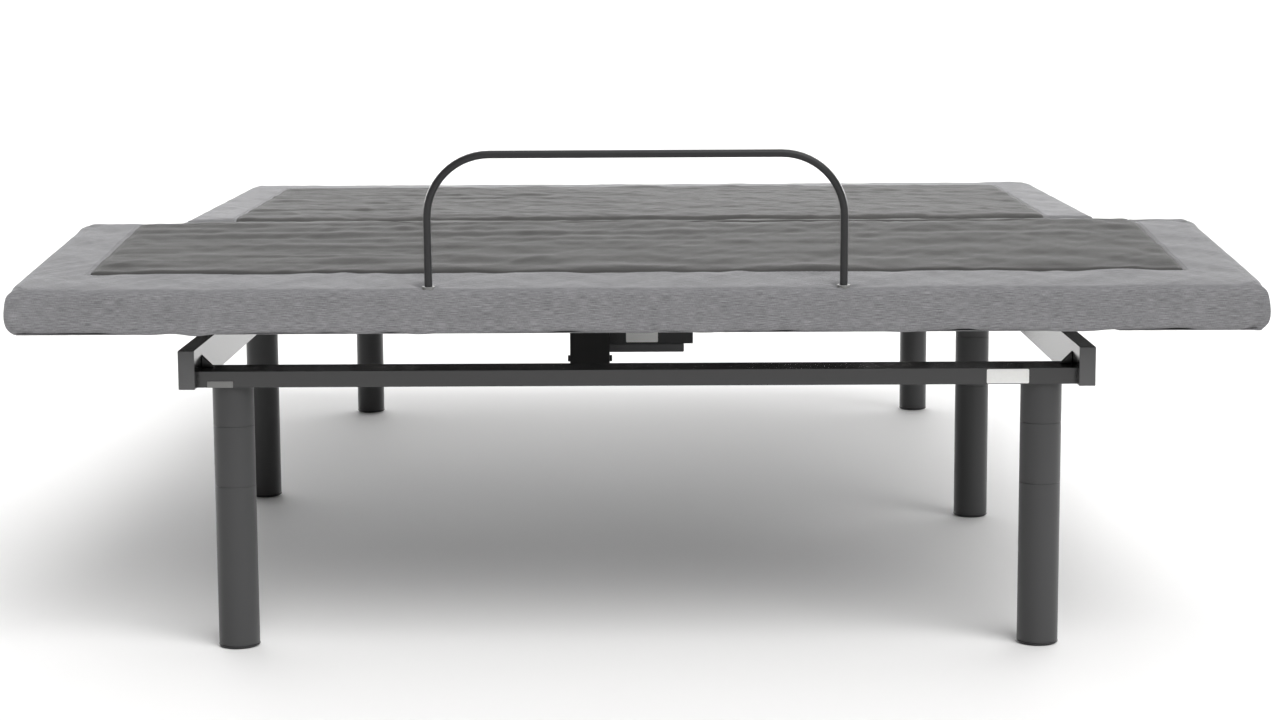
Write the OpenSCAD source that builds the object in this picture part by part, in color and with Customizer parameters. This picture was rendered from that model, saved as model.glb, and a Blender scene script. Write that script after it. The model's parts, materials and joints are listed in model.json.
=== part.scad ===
// Adjustable bed base: a steel frame on six stacked tube legs, carrying four
// upholstered deck sections. The seat section is fixed. The head section lifts
// about its hinge, and the thigh section lifts and folds the foot section.
// X is across the bed, -Y is the foot end, +Z is up. The origin is on the floor
// under the middle of the bed. Units are millimetres and degrees.

/* [Deck] */
// Width of the deck
deck_w = 1524; // [1350:1:1830]
// Length of the head section, from its hinge to the head end
head_len = 792; // [680:1:950]
// Length of the seat section, from hinge to hinge
seat_len = 368; // [330:1:440]
// Length of the thigh section, from its hinge to the knee hinge
thigh_len = 412; // [380:1:490]
// Length of the foot section, from the knee hinge to the foot end
foot_len = 460; // [400:1:550]
// Thickness of a section, board and padding together
deck_t = 54; // [48:1:60]
// Thickness of the board in a section
board_t = 18; // [15:0.5:22]
// Plan radius of the deck's outer corners
corner_r = 36; // [15:1:60]
// Radius of the outer top edges
edge_r = 9; // [4:0.5:14]
// Radius of the top edges that fold towards each other
fold_r = 27; // [25:1:29]
// Half the gap between two sections that fold up
hinge_gap = 8; // [8:0.5:12]
// Half the gap between the thigh and foot sections, laid flat
knee_gap = 4; // [3:0.5:6]
// Width of the padded border beside the insets
border = 86; // [60:1:120]
// Depth of the padded border at the foot and head ends
end_border = 102; // [40:1:130]
// Thickness of the inset cloth
inset_t = 2; // [1:0.5:3]

/* [Drawn position] */
// Angle of the thigh section above flat
thigh_angle = 9.2; // [0:0.1:20]
// Slope of the foot section as a share of the thigh's angle
foot_share = 0.54; // [0.5:0.002:0.56]

/* [Frame] */
// Width over the side rails
frame_w = 1125; // [1000:1:1300]
// Thickness of a side rail
rail_w = 20; // [16:1:26]
// Height of a side rail
rail_h = 48; // [44:1:60]
// Distance of the side rails' ends from the ends of the flat deck
rail_inset = 46; // [20:1:60]
// Depth of a cross rail, front to back
cross_w = 60; // [56:1:80]
// Height of a cross rail
cross_h = 20; // [18:1:24]
// Distance of the end cross rails from the ends of the side rails
cross_inset = 16; // [5:1:40]
// Wall of the rails and tubes
tube_wall = 2; // [1.5:0.25:3]
// Size of the square tubes under the sections
bar = 22; // [18:1:24]

/* [Legs] */
// Outer diameter of a leg
leg_d = 51; // [44:0.5:54]
// Height of the upper leg segment
upper_h = 51; // [40:1:80]
// Height of the middle leg segment
middle_h = 76; // [50:1:110]
// Height of the lower leg segment
lower_h = 202; // [150:1:260]
// Thickness of the glide under a leg
glide_h = 4; // [3:0.5:8]
// Wall of a leg tube
leg_wall = 1.8; // [1.5:0.1:3]
// Diameter of the threaded studs
stud_d = 10; // [8:1:12]
// Place of the front legs, from the middle
front_leg_x = 503; // [440:1:515]
// Place of the rear legs, from the middle
rear_leg_x = 529; // [440:1:530]
// How far the left middle leg stands outside its rail
left_leg_out = 50; // [40:1:70]
// How far the right middle leg stands inside its rail
right_leg_in = 27; // [27:1:60]

/* [Retainer bar] */
// Width of the mattress retainer bar
retainer_w = 511; // [400:1:650]
// Height of the bar above the deck
retainer_h = 166; // [120:1:220]
// Diameter of the bar
retainer_d = 9.5; // [8:0.5:14]
// Bend radius of the bar
retainer_r = 76; // [40:1:100]
// Distance of the bar from the foot end
retainer_inset = 14; // [12:1:30]

/* [Drive] */
// Length of the head section's lift lever, from hinge to pin
head_lever = 128; // [120:1:140]
// Angle of the head lever from straight down, towards the head end
head_lever_angle = 5; // [0:0.5:10]
// Distance of the head drive's rear pin from the head hinge
head_drive_l = 319; // [310:1:330]
// Depth of the head drive's rear pin below the hinge
head_drive_drop = 157; // [145:1:160]
// Length of the thigh section's lift lever, from hinge to pin
thigh_lever = 76; // [72:1:84]
// Angle of the thigh lever from straight down, towards the foot end
thigh_lever_angle = 25; // [20:0.5:28]
// Distance of the leg drive's rear pin from the thigh hinge
leg_drive_l = 260; // [250:1:270]
// Depth of the leg drive's rear pin below the hinge
leg_drive_drop = 100; // [94:1:108]
// Diameter of the drive pins
drive_pin_d = 10; // [8:0.5:12]
// Place of the head drive across the bed
head_drive_x = -77; // [-110:1:-70]
// Place of the leg drive across the bed
leg_drive_x = 124; // [118:1:160]
// Distance of the foot links' fixed pivots from the thigh hinge
link_back = 227; // [215:1:240]
// Distance of the foot links' upper pins from the knee hinge
link_reach = 118; // [110:1:130]

/* [Hidden] */

$fn = 48;
steel = "#3b3b3d";
zinc = "#b9bbbd";
cloth = "#8b8b8e";
inset_cloth = "#4d4c4b";
wood = "#a58a63";
plastic = "#1d1d1f";

// Heights
leg_h = glide_h + lower_h + middle_h + upper_h;
rail_z = leg_h;
rail_top = rail_z + rail_h;
cross_top = rail_z + cross_h;
motor_rail_z = rail_top - cross_h;
board_z = rail_top;

// Hinge axes: above the boards at the seat, below them at the knee
knuckle_r = 5;
axis_lift = 4;
leaf_t = 3;
axis_h = board_t + axis_lift;
axis_z = board_z + axis_h;
knee_drop = axis_h + axis_lift;
foot_angle = thigh_angle * foot_share;

// Places along the bed. The bed as drawn is centred on the origin, so its
// front reach is to the deck's edge or to the retainer bar, whichever is more.
bar_top = axis_lift + deck_t + retainer_h - retainer_d / 2;
foot_reach = max(foot_len * cos(foot_angle) + (axis_lift + deck_t) * sin(foot_angle),
                 (foot_len - retainer_inset) * cos(foot_angle)
                     + bar_top * sin(foot_angle) + retainer_d / 2);
front_reach = thigh_len * cos(thigh_angle) + knee_drop * sin(thigh_angle) + foot_reach;
thigh_y = (front_reach - seat_len - head_len) / 2;
head_y = thigh_y + seat_len;
flat_front = thigh_y - thigh_len - foot_len;
flat_rear = head_y + head_len;
knee_y = thigh_y - thigh_len * cos(thigh_angle) - knee_drop * sin(thigh_angle);
knee_z = axis_z + thigh_len * sin(thigh_angle) - knee_drop * cos(thigh_angle);
rail_front = flat_front + rail_inset;
rail_rear = flat_rear - rail_inset;
front_cross_y = rail_front + cross_inset + cross_w / 2;
rear_cross_y = rail_rear - cross_inset - cross_w / 2;
inner_x = frame_w / 2 - rail_w;
leg_r = leg_d / 2;
left_leg_x = -frame_w / 2 - left_leg_out;
left_leg_y = thigh_y + 212;
right_leg_x = inner_x - right_leg_in;
right_leg_y = thigh_y + 24;
bracket_t = 5;

// Boards and pads
pad_rim = 16;
board_rim = 3;
ridge_r = edge_r + 3;
ridge_corner = corner_r / 2;
hinge_x = [-450, 0, 450];
leaf_w = 90;
leaf_l = 46;
pin_d = 5;
pin_play = 0.05;
knuckle_play = 0.5;
bar_x = 330;
bar_start = 24;
head_bar_margin = 100;
thigh_bar_margin = 60;
foot_bar_start = 60;
foot_bar_margin = 130;

// Drives
head_clevis_y = head_y - head_drive_l;
head_clevis_z = axis_z - head_drive_drop;
head_mount_y = head_clevis_y + 8;
leg_clevis_y = thigh_y + leg_drive_l;
leg_clevis_z = axis_z - leg_drive_drop;
leg_mount_y = leg_clevis_y + cross_w / 2;
plate_t = 4;
clevis_w = 61;
clevis_drop = 18;
clevis_front = 15;
clevis_back = 22;
clevis_play = 1.5;
gearbox_w = clevis_w - 2 * plate_t - 2 * clevis_play;
eye_w = 20;
eye_d = 24;
rod_d = 18;
rod_play = 0.5;
head_slot_half = 6.5;
head_slot_shift = [-2.5, 6];
head_slot_play = 3;
thigh_slot_half = 2;
thigh_slot_shift = [-0.2, -0.65];
thigh_slot_play = 1.6;

// Foot links
link_y = thigh_y - link_back;
link_z = rail_top - 14;
link_w = 24;
link_t = 5;
link_pin_d = 10;
link_x = inner_x - 16;
link_drop = 19;
link_play = 3.2;
link_pin_y = knee_y - link_reach * cos(foot_angle) + link_drop * sin(foot_angle);
link_pin_z = knee_z - link_reach * sin(foot_angle) - link_drop * cos(foot_angle);
link_len = norm([link_y - link_pin_y, link_pin_z - link_z]);
link_angle = atan2(link_pin_z - link_z, link_y - link_pin_y);

// The six leg places: x, y
leg_places = [
    [-front_leg_x, front_cross_y], [front_leg_x, front_cross_y],
    [left_leg_x, left_leg_y], [right_leg_x, right_leg_y],
    [-rear_leg_x, rear_cross_y], [rear_leg_x, rear_cross_y]
];

// Points of a rectangle from (0, 0) to (w, h) with four corner radii,
// counted from the origin's corner anticlockwise
function rounded(w, h, radii, steps = 6) =
    let (centres = [[radii[0], radii[0]], [w - radii[1], radii[1]],
                    [w - radii[2], h - radii[2]], [radii[3], h - radii[3]]])
    [for (i = [0:3], k = [0:steps])
        let (a = 180 + 90 * i + 90 * k / steps)
        centres[i] + radii[i] * [cos(a), sin(a)]];

// Points of a slot of the given half length and end radius, along Y
function slot(half, r, steps = 12) =
    [for (end = [0, 1], k = [0:steps])
        let (a = 180 * end + 180 * k / steps)
        [r * cos(a), r * sin(a) + (end == 0 ? half : -half)]];

// ---------- common pieces ----------

// A hollow rectangular tube along Y, its corner at the origin
module tube_y(w, l, h) {
    difference() {
        cube([w, l, h]);
        translate([tube_wall, -1, tube_wall])
            cube([w - 2 * tube_wall, l + 2, h - 2 * tube_wall]);
    }
}

// A hollow rectangular tube along X, centred on X, from y = 0 and z = 0
module tube_x(l, w, h) {
    translate([-l / 2, 0, 0]) difference() {
        cube([l, w, h]);
        translate([-1, tube_wall, tube_wall])
            cube([l + 2, w - 2 * tube_wall, h - 2 * tube_wall]);
    }
}

module pin_x(d, l) {
    rotate([0, 90, 0]) cylinder(d = d, h = l, center = true);
}

// Draws its children at each hinge along X
module each_hinge() {
    for (x = hinge_x) translate([x, 0, 0]) children();
}

// A hinge leaf on the +Y side of its axis, which runs along X through the
// origin. The leaf lies leaf_t thick on the board, axis_lift below the axis.
module hinge_leaf(outer, bore = pin_d / 2 + pin_play) {
    third = leaf_w / 3;
    parts = outer ? [-1, 1] : [0];
    difference() {
        union() {
            translate([-leaf_w / 2, hinge_gap, -axis_lift])
                cube([leaf_w, leaf_l - hinge_gap, leaf_t]);
            for (k = parts) translate([k * third, 0, 0]) {
                pin_x(2 * knuckle_r, third - knuckle_play);
                translate([-(third - knuckle_play) / 2, 0, -axis_lift])
                    cube([third - knuckle_play, hinge_gap + 1, leaf_t]);
            }
        }
        pin_x(2 * bore, leaf_w + 2);
    }
}

// The space that a leaf and its knuckles take from a board's padding
module leaf_pocket() {
    translate([-leaf_w / 2 - 1, 0, -axis_lift])
        cube([leaf_w + 2, leaf_l + 1, leaf_t + 0.5]);
    translate([-leaf_w / 2 - 1, 0, -axis_lift])
        cube([leaf_w + 2, hinge_gap + 3, 2 * knuckle_r + 1]);
}

// A deck board from y = y0 to y1, its underside at z = 0
module board(y0, y1) {
    translate([-deck_w / 2 + pad_rim, y0, 0])
        cube([deck_w - 2 * pad_rim, y1 - y0, board_t]);
}

// The outer form of a padded section from y0 to y1. r0 and r1 round the top
// edges at its two ends, and c0 and c1 its plan corners there.
module pad_form(y0, y1, r0, r1, c0, c1) {
    l = y1 - y0;
    intersection() {
        translate([-deck_w / 2, y0, -1]) linear_extrude(deck_t + 2)
            polygon(rounded(deck_w, l, [c0, c0, c1, c1]));
        translate([-deck_w / 2 - 1, y0, 0]) rotate([90, 0, 90])
            linear_extrude(deck_w + 2)
            polygon(rounded(l, deck_t, [4, 4, r1, r0]));
        translate([-deck_w / 2, y1 + 1, 0]) rotate([90, 0, 0])
            linear_extrude(l + 2)
            polygon(rounded(deck_w, deck_t, [4, 4, edge_r, edge_r]));
    }
}

// The place of an inset cloth on a section's top
module inset_sheet(y0, y1, grow = 0) {
    w = deck_w - 2 * border + 2 * grow;
    translate([-w / 2, y0 - grow, deck_t - inset_t])
        cube([w, y1 - y0 + 2 * grow, inset_t + grow]);
}

// ---------- frame ----------

module side_rail(side) {
    x = side < 0 ? -frame_w / 2 : inner_x;
    color(steel) difference() {
        translate([x, rail_front, rail_z]) tube_y(rail_w, rail_rear - rail_front, rail_h);
        translate([side * (inner_x + rail_w / 2), link_y, link_z])
            pin_x(link_pin_d + 0.2, rail_w + 2);
    }
}

// A flat cross rail between the side rails, centred on y, with stud holes
// in its lower wall
module cross_rail(y, holes) {
    color(steel) difference() {
        translate([0, y - cross_w / 2, rail_z]) tube_x(2 * inner_x, cross_w, cross_h);
        for (x = holes) translate([x, y, rail_z - 1])
            cylinder(d = stud_d + 0.4, h = tube_wall + 2);
    }
}

bolt_d = 6;
bolt_x = [-450, -250, 250, 450];
bolt_grip = 10;
bolt_head = 4;

// A higher cross rail that carries a drive and the seat board
module motor_cross_rail(y) {
    color(steel) difference() {
        translate([0, y - cross_w / 2, motor_rail_z]) tube_x(2 * inner_x, cross_w, cross_h);
        for (x = bolt_x) translate([x, y, motor_rail_z - 1])
            cylinder(d = bolt_d + 0.4, h = cross_h + 2);
    }
}

cap_t = 2;
module rail_end_caps() {
    color(plastic) for (side = [-1, 1], y = [rail_front - cap_t, rail_rear]) {
        plug_y = y < 0 ? y + cap_t : y - 10;
        translate([side * (inner_x + rail_w / 2), 0, rail_z]) {
            translate([-rail_w / 2, y, 0]) cube([rail_w, cap_t, rail_h]);
            translate([-rail_w / 2 + tube_wall, plug_y, tube_wall])
                cube([rail_w - 2 * tube_wall, 10, rail_h - 2 * tube_wall]);
        }
    }
}

// Small triangular plates in the corners between the end and side rails
module corner_gussets() {
    size = 16;
    t = 6;
    color(steel) for (side = [-1, 1], y = [front_cross_y + t, rear_cross_y - 2 * t])
        translate([side * inner_x, y, cross_top]) rotate([90, 0, 0])
            mirror([side < 0 ? 1 : 0, 0, 0]) translate([0, 0, -t])
            linear_extrude(t) polygon([[0, 0], [-size, 0], [0, size]]);
}

// A plate for a middle leg, welded to the side of a rail, with two ribs that
// stay below the motor rails
bracket_l = 68;
rib_h = rail_h - cross_h - bracket_t - 3;
module leg_bracket(x, y, rail_x) {
    out = x < rail_x ? -1 : 1;
    reach = abs(x - rail_x) + leg_r + 3;
    color(steel) translate([rail_x, y, rail_z]) difference() {
        union() {
            translate([out < 0 ? -reach : 0, -bracket_l / 2, 0])
                cube([reach, bracket_l, bracket_t]);
            for (dy = [-bracket_l / 2, bracket_l / 2 - bracket_t])
                translate([0, dy, bracket_t])
                rotate([90, 0, 0]) mirror([out < 0 ? 1 : 0, 0, 0])
                translate([0, 0, -bracket_t]) linear_extrude(bracket_t)
                polygon([[0, 0], [reach - 8, 0], [0, rib_h]]);
        }
        translate([x - rail_x, 0, -1]) cylinder(d = stud_d + 0.4, h = bracket_t + 2);
    }
}

// ---------- legs ----------

// One hollow leg segment, open below, with a plate on top
segment_top = 3;
module leg_segment(z, h) {
    color(steel) for (p = leg_places) translate([p[0], p[1], z]) difference() {
        cylinder(d = leg_d, h = h);
        translate([0, 0, -1])
            cylinder(d = leg_d - 2 * leg_wall, h = h - segment_top + 1);
        cylinder(d = stud_d + 0.4, h = h + 1);
    }
}

glide_plug = 12;
module leg_glides() {
    color(plastic) for (p = leg_places) translate([p[0], p[1], 0]) {
        cylinder(d = leg_d, h = glide_h);
        translate([0, 0, glide_h])
            cylinder(d = leg_d - 2 * leg_wall - 0.2, h = glide_plug);
    }
}

stud_below = 24;
stud_above = 14;
module leg_studs() {
    low = glide_h + lower_h - stud_below;
    color(zinc) for (p = leg_places) translate([p[0], p[1], low])
        cylinder(d = stud_d, h = rail_z + stud_above - low);
}

// Hexagon nuts on the studs, on the floor of the rail or bracket
nut_h = 8;
module leg_nuts() {
    color(zinc) for (i = [0:5]) {
        p = leg_places[i];
        seat = (i == 2 || i == 3) ? bracket_t : tube_wall;
        translate([p[0], p[1], rail_z + seat]) difference() {
            cylinder(d = stud_d * 1.9, h = nut_h, $fn = 6);
            translate([0, 0, -1]) cylinder(d = stud_d + 0.1, h = nut_h + 2);
        }
    }
}

// ---------- clip on the front rail ----------

front_face_y = front_cross_y - cross_w / 2;
clip = [32, 1.2, 8];
clip_x = -530;
module rail_edge_clip() {
    color("lightgray") translate([clip_x, front_face_y - clip[1], rail_z]) cube(clip);
}

// ---------- seat section, fixed ----------

module at_seat() { translate([0, thigh_y, board_z]) children(); }

module seat_board() {
    color(wood) difference() {
        at_seat() board(hinge_gap + board_rim, seat_len - hinge_gap - board_rim);
        for (x = bolt_x, y = [head_mount_y, leg_mount_y]) translate([x, y, board_z - 1])
            cylinder(d = bolt_d + 0.4, h = bolt_grip + 1);
    }
}

// Hinge pockets at the seat's two ends, in the seat's own frame
module seat_pockets() {
    each_hinge() translate([0, 0, axis_h]) leaf_pocket();
    translate([0, seat_len, 0]) mirror([0, 1, 0])
        each_hinge() translate([0, 0, axis_h]) leaf_pocket();
}

module seat_pad() {
    color(cloth) at_seat() difference() {
        pad_form(hinge_gap, seat_len - hinge_gap, fold_r, fold_r, 1, 1);
        board(hinge_gap + board_rim, seat_len - hinge_gap - board_rim);
        inset_sheet(hinge_gap + fold_r, seat_len - hinge_gap - fold_r);
        seat_pockets();
    }
}

module seat_inset() {
    color(inset_cloth) at_seat()
        inset_sheet(hinge_gap + fold_r, seat_len - hinge_gap - fold_r);
}

// Bolts that hold the seat board down through its two cross rails
module seat_bolts() {
    color(zinc) for (x = bolt_x, y = [head_mount_y, leg_mount_y])
        translate([x, y, motor_rail_z]) {
            cylinder(d = bolt_d, h = cross_h + bolt_grip);
            translate([0, 0, -bolt_head]) cylinder(d = bolt_d * 1.9, h = bolt_head);
        }
}

module seat_hinge_leaves() {
    color(zinc) translate([0, 0, axis_z]) {
        translate([0, thigh_y, 0]) each_hinge() hinge_leaf(true, pin_d / 2);
        translate([0, head_y, 0]) mirror([0, 1, 0])
            each_hinge() hinge_leaf(true, pin_d / 2);
    }
}

module seat_hinge_pins() {
    color(zinc) for (y = [thigh_y, head_y]) translate([0, y, axis_z])
        each_hinge() pin_x(pin_d, leaf_w + 4);
}

box_w = 190;
box_l = 120;
box_h = 30;
box_x = -300;
box_back = 130;
lid_t = 4;
module at_control_box() {
    translate([box_x - box_w / 2, thigh_y + box_back, rail_top - box_h]) children();
}

box_wall = 2.5;
inlet = [28, 12, 20];
inlet_x = 24;
inlet_z = 5;
module control_box() {
    color(plastic) at_control_box() difference() {
        cube([box_w, box_l, box_h]);
        translate([box_wall, box_wall, -1])
            cube([box_w - 2 * box_wall, box_l - 2 * box_wall, box_h - box_wall + 1]);
        translate([inlet_x, box_l - box_wall - 1, inlet_z])
            cube([inlet[0], box_wall + 2, inlet[2]]);
    }
}

// The mains inlet: a socket body with a recess and three contacts
module power_inlet() {
    color(plastic) at_control_box() translate([inlet_x, box_l - inlet[1], inlet_z]) {
        difference() {
            cube(inlet);
            translate([2, 3, 2]) cube([inlet[0] - 4, inlet[1], inlet[2] - 4]);
        }
        for (k = [-1, 0, 1]) translate([inlet[0] / 2 + k * 7 - 0.8, 2, inlet[2] / 2 - 2])
            cube([1.6, inlet[1] - 4, 4]);
    }
}

// The circuit board with its relays and a capacitor
module control_circuit_board() {
    margin = box_wall + 3;
    color("darkgreen") at_control_box() translate([margin, margin, box_h - box_wall - 3]) {
        cube([box_w - 2 * margin, box_l - 2 * margin - inlet[1], 1.6]);
        for (k = [0:3]) translate([20 + 34 * k, 40, -13]) cube([24, 18, 13]);
        translate([30, 15, -14]) cylinder(d = 16, h = 14);
    }
}

module control_box_lid() {
    color("#3a3a3c") at_control_box() translate([0, 0, -lid_t])
        cube([box_w, box_l, lid_t]);
}

// ---------- section frames ----------

// Two bars under a section and two cross bars between them, as separate
// solids that are welded face to face
module bar_frame(y0, y1) {
    for (s = [-1, 1]) translate([s * bar_x - bar / 2, y0, -bar])
        tube_y(bar, y1 - y0, bar);
    for (y = [y0, y1 - bar]) translate([0, y, -bar])
        tube_x(2 * bar_x - bar, bar, bar);
}

// A lever plate in the Y-Z plane, its hinge axis at the origin. It hangs from
// the frame's cross bar between y0 and y1 and has a slot near the pin: half is
// the slot's half length along the lever, shift moves the slot across and
// towards the hinge, and play is the pin's clearance in it.
module lever_plate(x, y0, y1, pin, half, shift, play) {
    top = -axis_h - bar;
    slot_r = drive_pin_d / 2 + play;
    boss = slot_r + 7;
    turn = atan2(pin[0], -pin[1]);
    translate([x - plate_t / 2, 0, 0]) rotate([90, 0, 90]) linear_extrude(plate_t)
        difference() {
            union() {
                polygon([[y0, top], [y1, top],
                         pin + (boss + 2) * [cos(turn + 20), sin(turn + 20)],
                         pin + boss * [cos(turn + 180), sin(turn + 180)]]);
                translate(pin) rotate(turn) translate([0, shift[1]]) polygon(slot(half, boss));
            }
            translate(pin) rotate(turn) translate(shift) polygon(slot(half, slot_r));
        }
}

// A pair of lever plates either side of a drive
module lever_pair(x, y0, y1, pin, half, shift, play) {
    for (s = [-1, 1])
        lever_plate(x + s * (eye_w / 2 + 3 + plate_t / 2), y0, y1, pin, half, shift, play);
}

// ---------- head section ----------

module at_head() { translate([0, head_y, board_z]) children(); }

module head_board() {
    color(wood) at_head() board(hinge_gap + board_rim, head_len - pad_rim);
}

module head_pad() {
    color(cloth) at_head() difference() {
        pad_form(hinge_gap, head_len, fold_r, edge_r, 1, corner_r);
        board(hinge_gap + board_rim, head_len - pad_rim);
        inset_sheet(hinge_gap + fold_r, head_len - end_border);
        each_hinge() translate([0, 0, axis_h]) leaf_pocket();
    }
}

module head_inset() {
    color(inset_cloth) at_head() inset_sheet(hinge_gap + fold_r, head_len - end_border);
}

module head_frame() {
    color(steel) at_head() bar_frame(bar_start, head_len - head_bar_margin);
}

head_pin = head_lever * [sin(head_lever_angle), -cos(head_lever_angle)];
module head_lift_lever() {
    color(steel) translate([0, head_y, axis_z])
        lever_pair(head_drive_x, bar_start, bar_start + bar, head_pin,
                   head_slot_half, head_slot_shift, head_slot_play);
}

module head_hinge_leaves() {
    color(zinc) translate([0, head_y, axis_z]) each_hinge() hinge_leaf(false);
}

// ---------- thigh section ----------

// The thigh's frame: Y runs from its hinge towards the foot
module at_thigh() {
    translate([0, thigh_y, axis_z]) rotate([-thigh_angle, 0, 0]) mirror([0, 1, 0])
        translate([0, 0, -axis_h]) children();
}

module thigh_board() {
    color(wood) at_thigh()
        board(hinge_gap + board_rim, thigh_len - knee_gap - board_rim);
}

module thigh_pad() {
    color(cloth) at_thigh() difference() {
        pad_form(hinge_gap, thigh_len - knee_gap, fold_r, ridge_r, 1, ridge_corner);
        board(hinge_gap + board_rim, thigh_len - knee_gap - board_rim);
        inset_sheet(hinge_gap + fold_r, thigh_len - knee_gap - ridge_r);
        each_hinge() translate([0, 0, axis_h]) leaf_pocket();
    }
}

module thigh_inset() {
    color(inset_cloth) at_thigh()
        inset_sheet(hinge_gap + fold_r, thigh_len - knee_gap - ridge_r);
}

module thigh_frame() {
    color(steel) at_thigh() bar_frame(bar_start, thigh_len - thigh_bar_margin);
}

thigh_pin = thigh_lever * [sin(thigh_lever_angle), -cos(thigh_lever_angle)];
module thigh_lift_lever() {
    color(steel) at_thigh() translate([0, 0, axis_h])
        lever_pair(leg_drive_x, bar_start, bar_start + bar, thigh_pin,
                   thigh_slot_half, thigh_slot_shift, thigh_slot_play);
}

// Leaves at the seat hinge and, under the board, at the knee hinge
module thigh_hinge_leaves() {
    color(zinc) at_thigh() {
        translate([0, 0, axis_h]) each_hinge() hinge_leaf(false);
        translate([0, thigh_len, -axis_lift]) mirror([0, 1, 0]) mirror([0, 0, 1])
            each_hinge() hinge_leaf(true, pin_d / 2);
    }
}

module knee_hinge_pins() {
    color(zinc) at_thigh() translate([0, thigh_len, -axis_lift])
        each_hinge() pin_x(pin_d, leaf_w + 4);
}

// ---------- foot section ----------

// The foot's frame: Y runs from the knee hinge towards the foot end
module at_foot() {
    translate([0, knee_y, knee_z]) rotate([foot_angle, 0, 0]) mirror([0, 1, 0])
        translate([0, 0, axis_lift]) children();
}

retainer_y = foot_len - retainer_inset;
ferrule_d = retainer_d + 6;
module retainer_holes(d) {
    for (s = [-1, 1]) translate([s * (retainer_w - retainer_d) / 2, retainer_y, -1])
        cylinder(d = d, h = deck_t + 2);
}

foot_board_end = foot_len - 6;

// The board's underside has a pocket at each end of the bar, for its nut
pocket_w = 22;
pocket_h = 10;
module foot_board() {
    color(wood) at_foot() difference() {
        board(knee_gap + board_rim, foot_board_end);
        retainer_holes(retainer_d + 0.4);
        for (s = [-1, 1]) translate([s * (retainer_w - retainer_d) / 2 - pocket_w / 2,
                                     retainer_y - pocket_w / 2, -1])
            cube([pocket_w, pocket_w + 20, pocket_h + 1]);
    }
}

module foot_pad() {
    color(cloth) at_foot() difference() {
        pad_form(knee_gap, foot_len, ridge_r, edge_r, ridge_corner, corner_r);
        board(knee_gap + board_rim, foot_board_end);
        inset_sheet(knee_gap + ridge_r, foot_len - end_border);
        retainer_holes(ferrule_d);
    }
}

module foot_inset() {
    color(inset_cloth) at_foot()
        inset_sheet(knee_gap + ridge_r, foot_len - end_border);
}

module foot_frame() {
    color(steel) at_foot() bar_frame(foot_bar_start, foot_len - foot_bar_margin);
}

// Angle plates under the foot board, each with a hole that gives its link play
ear_t = 4;
ear_l = 40;
ear_flange = 30;
ear_below = 14;
module foot_link_ears() {
    ear_x = link_x - link_t / 2 - 2;
    ear_y = link_reach - ear_l / 2;
    low = axis_lift + link_drop + ear_below;
    color(steel) at_foot() for (s = [-1, 1]) difference() {
        union() {
            translate([s * ear_x - (s > 0 ? ear_flange : 0), ear_y, -ear_t])
                cube([ear_flange, ear_l, ear_t]);
            translate([s * ear_x - (s > 0 ? ear_t : 0), ear_y, -low])
                cube([ear_t, ear_l, low]);
        }
        translate([s * ear_x, link_reach, -axis_lift - link_drop])
            pin_x(link_pin_d + 2 * link_play, 4 * ear_t);
    }
}

module foot_hinge_leaves() {
    color(zinc) at_foot() translate([0, 0, -axis_lift]) mirror([0, 0, 1])
        each_hinge() hinge_leaf(false);
}

// One leg and half the top of the retainer bar, swept along its centreline
bar_foot = 1;
module retainer_half() {
    half = (retainer_w - retainer_d) / 2;
    top = deck_t + retainer_h - retainer_d / 2;
    translate([half, 0, bar_foot]) cylinder(d = retainer_d, h = top - retainer_r - bar_foot);
    translate([half - retainer_r, 0, top - retainer_r]) rotate([90, 0, 0])
        rotate_extrude(angle = 90) translate([retainer_r, 0]) circle(d = retainer_d);
    translate([0, 0, top]) rotate([0, 90, 0])
        cylinder(d = retainer_d, h = half - retainer_r);
}

module retainer_bar() {
    color(steel) at_foot() translate([0, retainer_y, 0]) union() {
        retainer_half();
        mirror([1, 0, 0]) retainer_half();
    }
}

module retainer_ferrules() {
    color(zinc) at_foot() difference() {
        for (s = [-1, 1]) translate([s * (retainer_w - retainer_d) / 2, retainer_y, board_t])
            cylinder(d = ferrule_d, h = deck_t - board_t + 1);
        retainer_holes(retainer_d + 0.1);
    }
}

washer_t = 2;
module retainer_nuts() {
    nut_low = bar_foot + 0.5;
    color(zinc) at_foot() difference() {
        for (s = [-1, 1]) translate([s * (retainer_w - retainer_d) / 2, retainer_y, 0]) {
            translate([0, 0, nut_low])
                cylinder(d = retainer_d * 1.6, h = pocket_h - washer_t - nut_low, $fn = 6);
            translate([0, 0, pocket_h - washer_t])
                cylinder(d = retainer_d * 1.64, h = washer_t);
        }
        retainer_holes(retainer_d + 0.1);
    }
}

// ---------- foot links ----------

// A link's frame: its pivot on the side rails is the origin, Y towards the foot
module at_link() {
    translate([0, link_y, link_z]) rotate([-link_angle, 0, 0]) mirror([0, 1, 0]) children();
}

// One link arm, with the pin that works in its ear
link_pin_l = 12;
module foot_link(side) {
    color(steel) at_link() difference() {
        union() {
            translate([side * link_x - link_t / 2, 0, 0]) {
                translate([0, 0, -link_w / 2]) cube([link_t, link_len, link_w]);
                for (y = [0, link_len]) translate([0, y, 0]) rotate([0, 90, 0])
                    cylinder(d = link_w, h = link_t);
            }
            translate([side * (link_x - link_pin_l / 2), link_len, 0])
                pin_x(link_pin_d, link_pin_l);
        }
        translate([side * link_x, 0, 0]) pin_x(link_pin_d + 2 * pin_play, link_t + 4);
    }
}

// ---------- drives ----------

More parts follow.
